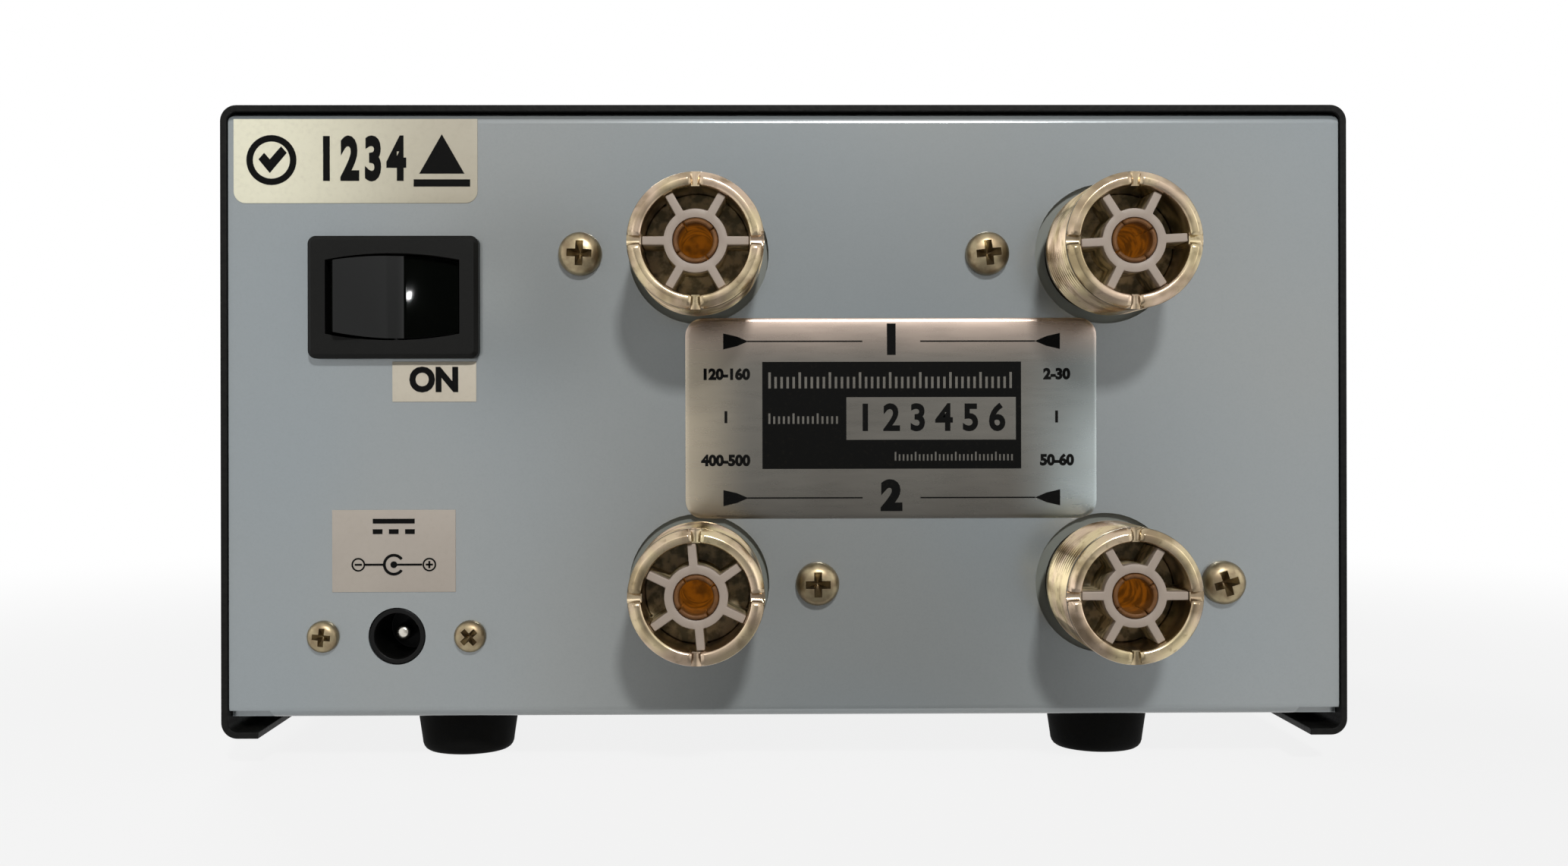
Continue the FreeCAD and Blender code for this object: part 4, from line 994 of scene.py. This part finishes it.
lit = []
for character, left in SHOWN_FIGURES:
    for name in FIGURES[character]:
        x0, y0, x1, y1 = SEGMENT_BARS[name]
        x0, x1 = left + x0 * FIGURE_WIDTH, left + x1 * FIGURE_WIDTH
        y0, y1 = FIGURE_FOOT + y0 * FIGURE_HEIGHT, FIGURE_FOOT + y1 * FIGURE_HEIGHT
        lit.append(segment(x0, y0, x1, y1))
lit.append(bar(15.2, 2.4, 16.6, 3.8))
printed("display_figures", inked(lit), (LCD_X, LCD_FACE, LCD_Z), TO_FRONT, lcd_dark)
one_bar = laid_on("one_bar", inked([bar(-0.7, -1.7, 0.7, 1.7)]), (0, 0, 0), TO_FRONT)
bars = repeated("display_bars", one_bar, BAR_PLACES, [(0, 0, 0)] * len(BAR_PLACES), lcd_dark)
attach(bars, "case")

# Rear stickers: an inspection sticker, a switch sticker and a supply sticker, thin vinyl with
# square or slightly rounded corners. The first is cream, painted darker on the side towards the
# sockets: painted shade. The print is plain: a tick, figures, a triangle, ON, and the signs of a
# direct-current supply.
VINYL_THICKNESS = 0.12
VINYL_EDGE = 0.04
PAINTED_SHADE_SPAN = (39, 68)
TO_REAR = Matrix(((-1, 0, 0, 0), (0, 0, 1, 0), (0, 1, 0, 0), (0, 0, 0, 1)))


def rounded(x0, y0, x1, y1, radius, round_top=True):
    """A rectangle with rounded corners, or with only its lower two rounded."""
    left, right, low, high = x0 + radius, x1 - radius, y0 + radius, y1 - radius
    loop = ring(radius, left, low, 180, 270, 8) + ring(radius, right, low, 270, 360, 8)
    if round_top:
        return loop + ring(radius, right, high, 0, 90, 8) + ring(radius, left, high, 90, 180, 8)
    return loop + [(x1, y1), (x0, y1)]


def vinyl_finish(name, first, second, slope=None):
    """Sticker vinyl in two paper tones, mixed in clouds, or along X from one place to another."""
    vinyl = Finish(name)
    fibre = vinyl.noise(0.0006, 3.0)
    if slope:
        share = vinyl.along("X").step(slope[0] * MM, slope[1] * MM)
    else:
        share = vinyl.noise(0.02, 2.0).step(0.3, 0.7)
    paper = vinyl.blend(share, tone(*first), tone(*second))
    return vinyl.close(
        Base_Color=vinyl.blend(fibre.step(0.4, 0.9) * 0.12, paper, tone(150, 138, 120)),
        Roughness=0.42 + fibre * 0.12,
        Specular_IOR_Level=0.35,
    )


# The cream sticker darkens across this span towards the sockets: painted shade.
cream_vinyl = vinyl_finish("cream_vinyl", (188, 180, 160), (250, 246, 220), PAINTED_SHADE_SPAN)
beige_vinyl = vinyl_finish("beige_vinyl", (216, 208, 189), (207, 197, 179))
pink_vinyl = vinyl_finish("pinkish_vinyl", (190, 181, 169), (181, 171, 160))
sticker_ink = mottled(
    "sticker_ink", (0.0004, 4.0), (8, 8, 7), (24, 22, 18),
    rough=0.55, span=(0.55, 0.85), Specular_IOR_Level=0.06,
)


def sticker(name, loop, x, z, vinyl, print_meshes):
    """A sticker and its print, centred on a point of the rear panel."""
    base = [plate_mesh([loop], VINYL_THICKNESS, VINYL_EDGE)]
    printed(name, base, (x, PANEL_FACE, z), TO_REAR, vinyl)
    above = (x, PANEL_FACE + VINYL_THICKNESS, z)
    printed(name + "_print", print_meshes, above, TO_REAR, sticker_ink)


tick = [(-12.0, 0.2), (-11.3, 1.0), (-10.6, 0.2), (-9.2, 1.8), (-8.5, 1.0), (-10.6, -1.5)]
inspection_print = inked(
    [ring(3.1, -10.4, 0.1), ring(2.3, -10.4, 0.1)],
    [tick],
    [bar(7.2, -3.2, 14.2, -2.3)],
    [[(7.9, -1.6), (13.5, -1.6), (10.7, 3.3)]],
)
for step, number in enumerate("1234"):
    inspection_print.append(number_mesh(number, 5.2, -3.6 + 2.9 * step, 0.0, 0.32, 0.62))
supply_print = inked(
    [bar(-2.6, 3.4, 2.6, 4.0)],
    [bar(-2.6 + 2.0 * step, 2.1, -1.4 + 2.0 * step, 2.7) for step in range(3)],
    [arc_band(1.0, 1.35, 0, -1.7, 35, 325), ring(0.42, 0, -1.7)],
    [bar(-3.6, -1.83, -1.35, -1.57)],
    [bar(0.42, -1.83, 3.5, -1.57)],
    [ring(0.85, -4.4, -1.7), ring(0.65, -4.4, -1.7)],
    [bar(-4.85, -1.82, -3.95, -1.58)],
    [ring(0.85, 4.4, -1.7), ring(0.65, 4.4, -1.7)],
    [bar(3.95, -1.82, 4.85, -1.58)],
    [bar(4.28, -2.15, 4.52, -1.25)],
)
switch_print = [number_mesh("ON", 2.9, 0, 0.1, 0.2, 0.95)]
inspection_edge = rounded(-15.1, -5.25, 15.1, 5.2, 1.5, False)
sticker("inspection_sticker", inspection_edge, 53.3, 75.6, cream_vinyl, inspection_print)
sticker("switch_sticker", bar(-5.2, -2.5, 5.2, 2.5), 43.6, 48.2, beige_vinyl, switch_print)
sticker("supply_sticker", bar(-7.65, -5.1, 7.65, 5.1), 48.65, 27.2, pink_vinyl, supply_print)

# Socket plate: a thin satin aluminium plate between the sockets, with round corners and a dark
# printed block. Arrows point to the two pairs, and plain figures mark them. Its colour is painted
# reflection: dark across the middle with darker clouds, cool and pale towards the foot at one
# end, and warmer at the other end and along the top.
PLATE_X, PLATE_Z = -13.175, 43.57
PLATE_HALF_WIDTH, PLATE_HALF_HEIGHT = 25.6, 12.45
PLATE_CORNER = 2.2
PLATE_LEVELS = [
    (0, 0), (0, 0.1), (0.07, 0.16), (0.5, 0.215), (1.2, 0.27), (2.2, 0.315), (3.4, 0.342),
    (4.6, 0.35),
]

foil = Finish("satin_aluminium")
# The plate's tones below are painted reflections of the room: clouds, a cool pale end and foot, and
# a warm end and top.
painted_reflection_clouds = foil.noise(0.012, 1.5).step(0.3, 0.7)
brushed = foil.noise(0.0006, 3.0, (8, 1, 1))
warm_reflection_end = foil.along("X").step((PLATE_X + 17) * MM, (PLATE_X + 25) * MM)
cool_reflection_end = 1 - foil.along("X").step((PLATE_X - 25) * MM, (PLATE_X - 14) * MM)
warm_reflection_top = foil.along("Z").step((PLATE_Z + 6) * MM, (PLATE_Z + 12.5) * MM)
pale_reflection_foot = 1 - foil.along("Z").step((PLATE_Z - 6) * MM, (PLATE_Z + 5) * MM)
foil_colour = foil.blend(pale_reflection_foot, tone(132, 140, 140), tone(190, 202, 203))
foil_colour = foil.blend(cool_reflection_end, tone(124, 121, 114), foil_colour)
foil_colour = foil.blend(warm_reflection_end, foil_colour, tone(178, 167, 147))
foil_colour = foil.blend(warm_reflection_top, foil_colour, tone(188, 168, 154))
foil_colour = foil.blend(painted_reflection_clouds * 0.4, foil_colour, tone(104, 100, 94))
satin_aluminium = foil.close(
    Base_Color=foil.blend(brushed * 0.12, foil_colour, tone(136, 130, 120)),
    Metallic=0.9,
    Roughness=0.24 + brushed * 0.08,
)


def domed_plate(name, levels, at):
    """A thin plate with soft, sloping borders: levels are (inset, height) from its rim inwards."""
    shape = bmesh.new()
    rings = []
    for inset, height in levels:
        x, y = PLATE_HALF_WIDTH - inset, PLATE_HALF_HEIGHT - inset
        loop = rounded(-x, -y, x, y, max(PLATE_CORNER - 0.6 * inset, 0.4))
        rings.append([shape.verts.new((*corner, height)) for corner in loop])
    bridged(shape, rings)
    shape.faces.new(rings[0])
    shape.faces.new(rings[-1])
    bmesh.ops.recalc_face_normals(shape, faces=shape.faces)
    shape.transform(Matrix.Translation(Vector(at) * MM) @ TO_REAR @ Matrix.Scale(MM, 4))
    return finished(name, shape, 40)


def arrowhead(x, y, towards):
    """A leaf-shaped arrowhead that starts at a point and points to one side."""
    waist, tip = x + 1.705 * towards, x + 3.1 * towards
    return [(x, y - 1.0), (x, y + 1.0), (waist, y + 0.6), (tip, y), (waist, y - 0.6)]


def graduations(left, right, bottom, height, spacing):
    """A row of scale marks as bars, every fifth one full height and the others shorter."""
    count = int((right - left) / spacing) + 1
    rises = [height if step % 5 == 0 else 0.72 * height for step in range(count)]
    return [
        bar(left + step * spacing, bottom, left + step * spacing + 0.42 * spacing, bottom + rise)
        for step, rise in enumerate(rises)
    ]


plate_print = []
for level in (9.55, -9.9):
    plate_print += inked(
        [arrowhead(-20.9, level, 1)],
        [arrowhead(21.0, level, -1)],
        [bar(-17.9, level - 0.08, -3.6, level + 0.08)],
        [bar(3.6, level - 0.08, 17.9, level + 0.08)],
    )
plate_print += [number_mesh("1", 3.5, 0, 9.6, 0.3), number_mesh("2", 3.5, 0, -9.8, 0.3)]
for text, x, y in (
    ("120-160", -20.6, 5.4), ("400-500", -20.6, -5.3), ("2-30", 20.6, 5.4), ("50-60", 20.6, -5.3),
):
    plate_print.append(number_mesh(text, 1.3, x, y, 0.1))
dark_block = [bar(-16.05, -6.3, 16.15, 7.0), bar(-5.6, -2.7, 15.5, 2.6)]
dark_block += graduations(-15.3, 15.3, 3.7, 2.0, 0.75)
dark_block += graduations(-15.3, -6.8, -0.7, 1.3, 0.6)
dark_block += graduations(0.4, 15.3, -5.3, 1.1, 0.5)
plate_print += inked([bar(-20.75, -0.6, -20.4, 0.9)], [bar(20.4, -0.6, 20.75, 0.9)], dark_block)
plate_print.append(number_mesh("1 2 3 4 5 6", 3.3, 4.95, -0.1, 0.14, 0.92))

socket_plate = domed_plate("socket_plate", PLATE_LEVELS, (PLATE_X, PANEL_FACE, PLATE_Z))
socket_plate.data.materials.append(satin_aluminium)
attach(socket_plate, "case")
plate_top = (PLATE_X, PANEL_FACE + PLATE_LEVELS[-1][1] - 0.004, PLATE_Z)
printed("socket_plate_print", plate_print, plate_top, TO_REAR, sticker_ink)

# Floor: a wide sheet of white card. It shows white to the camera, in metal and in glass, and
# keeps a pale shadow under the case.
CARD_SINK = 0.00002


def looked_at(nodes):
    """1 for rays from the camera, and for those that gloss and glass pass on, otherwise 0."""
    ray = nodes.add("ShaderNodeLightPath", output="Is Camera Ray")
    ray = ray + ray.part("Is Glossy Ray") + ray.part("Is Transmission Ray")
    return ray.math("MINIMUM", 1.0)


floor_shape = bmesh.new()
bmesh.ops.create_grid(floor_shape, x_segments=8, y_segments=8, size=4.0)
floor = finished("floor_card", floor_shape)
floor.location.z = -CARD_SINK
card = Finish("white_card")
away = card.add("ShaderNodeVectorMath", {0: card.place}, "Value", operation="LENGTH")
shown = 0.85 + away.step(0.1, 0.34) * 0.15
plain = card.add("ShaderNodeBsdfDiffuse", {"Color": tone(190, 190, 189)})
bright = card.add("ShaderNodeEmission", {"Color": (1, 1, 1, 1), "Strength": 1.0})
mixed = card.add("ShaderNodeMixShader", {0: looked_at(card) * shown, 1: plain, 2: bright})
card.add("ShaderNodeOutputMaterial", {"Surface": mixed})
floor.data.materials.append(card.material)

# Light: an even white room, a lamp high in front of the panel that throws the sockets' shadows
# down, two side lamps, a small lamp by the camera for the points of light, and one for the front.
ROOM_LEVEL = 0.08
PANEL_AIM = (0, 0.045, 0.045)
BEZEL_AIM = (0, -0.06, 0.045)

world = bpy.data.worlds.new("white_room")
world.use_nodes = True
world.node_tree.nodes.clear()
bpy.context.scene.world = world
room = Nodes(world.node_tree)
room_light = looked_at(room) * (1 - ROOM_LEVEL) + ROOM_LEVEL
room_light = room.add("ShaderNodeBackground", {"Color": (1, 1, 1, 1), "Strength": room_light})
room.add("ShaderNodeOutputWorld", {"Surface": room_light})


def lamp(name, place, aim, size, power):
    """A square soft lamp at a place, pointed at another, both in metres."""
    light = bpy.data.lights.new(name, "AREA")
    light.shape, light.size, light.energy = "SQUARE", size, power
    made = bpy.data.objects.new(name, light)
    made.location = place
    made.rotation_euler = (Vector(aim) - Vector(place)).to_track_quat("-Z", "Y").to_euler()
    bpy.context.scene.collection.objects.link(made)


lamp("key_lamp", (-0.083, 0.725, 0.455), PANEL_AIM, 0.07, 3.75)
lamp("left_lamp", (0.26, 0.16, 0.10), PANEL_AIM, 0.14, 0.05)
lamp("right_lamp", (-0.26, 0.16, 0.10), PANEL_AIM, 0.14, 0.07)
lamp("camera_lamp", (0.071, 0.262, 0.0762), PANEL_AIM, 0.0018, 0.0008)
lamp("front_lamp", (0.30, -0.62, 0.50), BEZEL_AIM, 0.30, 3.0)

# Reflection cards: two cards that only gloss and metal see, one behind the camera and one on the
# floor before the panel. Both are dark across their middle and shade off to white at their
# sides, as a dim room between two windows does, with a pale and a dark patch for the button.
CARD_HALF_WIDTH = 0.3
CARD_FAR = 0.32
EYE_X, EYE_Z = 0.006, 0.0435
EYE_DISTANCE = 0.199
GLOOM_MIDDLE, GLOOM_FULL, GLOOM_END = -10, 12, 52
GLOOM_LEVEL = 0.32

room_card = Finish("shaded_card")
card_x, card_z = room_card.along("X"), room_card.along("Z")
spread = 1 + (room_card.along("Y") - PANEL_FACE * MM) / EYE_DISTANCE
seen_x = (card_x + (spread - 1) * EYE_X) / spread
seen_z = (card_z + (spread - 1) * EYE_Z) / spread
gloom = 1 - abs(seen_x - GLOOM_MIDDLE * MM).step(GLOOM_FULL * MM, GLOOM_END * MM)
gloom = gloom * (1 - seen_z.step(0.03, 0.085) * 0.55)
white_share = 1 - gloom * (1 - GLOOM_LEVEL)
in_patch = card_z.step(0.052, 0.06) * (1 - card_z.step(0.1, 0.108))
pale_patch = in_patch * card_x.step(-0.1, -0.09) * (1 - card_x.step(-0.058, -0.05))
dark_patch = in_patch * card_x.step(0.044, 0.052) * (1 - card_x.step(0.084, 0.092))
white_share = white_share.math("MAXIMUM", pale_patch * 0.55) * (1 - dark_patch)
unlit = room_card.add("ShaderNodeEmission", {"Color": (0, 0, 0, 1), "Strength": 0.0})
white = room_card.add("ShaderNodeEmission", {"Color": (1, 1, 1, 1), "Strength": 1.0})
shaded = room_card.add("ShaderNodeMixShader", {0: white_share, 1: unlit, 2: white})
room_card.add("ShaderNodeOutputMaterial", {"Surface": shaded})


def reflection_card(name, first, second):
    """A card that shows in reflections alone, between two edges along X, each given by y and z."""
    sides = ((-1, first), (1, first), (1, second), (-1, second))
    mesh = bpy.data.meshes.new(name)
    mesh.from_pydata([(side * CARD_HALF_WIDTH, *edge) for side, edge in sides], [], [range(4)])
    made = bpy.data.objects.new(name, mesh)
    bpy.context.scene.collection.objects.link(made)
    made.visible_camera = made.visible_diffuse = made.visible_shadow = False
    made.visible_transmission = made.visible_volume_scatter = False
    made.data.materials.append(room_card.material)


reflection_card("card_behind_camera", (CARD_FAR, 0.0), (CARD_FAR, 0.25))
reflection_card("card_on_floor", (0.05, 0.001), (CARD_FAR, 0.001))

# Camera: level with the middle of the rear panel and a little to one side, a fifth of a metre
# away. The photograph is a crop, so its frame is shifted slightly off the lens's axis.
CAMERA_PLACE = (5.83, 244.04, 43.46)
CAMERA_AIM = (3.96, 45.1, 43.44)
CAMERA_ROLL = -0.115

lens = bpy.data.cameras.new("camera")
lens.lens, lens.sensor_width = 36.7, 36.0
lens.shift_x, lens.shift_y = 0.0194, -0.0087
lens.clip_start, lens.clip_end = 0.01, 20.0
camera = bpy.data.objects.new("camera", lens)
camera.location = Vector(CAMERA_PLACE) * MM
look = (Vector(CAMERA_AIM) - Vector(CAMERA_PLACE)).to_track_quat("-Z", "Y").to_matrix()
camera.rotation_euler = (look @ Matrix.Rotation(math.radians(CAMERA_ROLL), 3, "Z")).to_euler()
bpy.context.scene.collection.objects.link(camera)
bpy.context.scene.camera = camera
bpy.context.scene.view_settings.view_transform = "Standard"
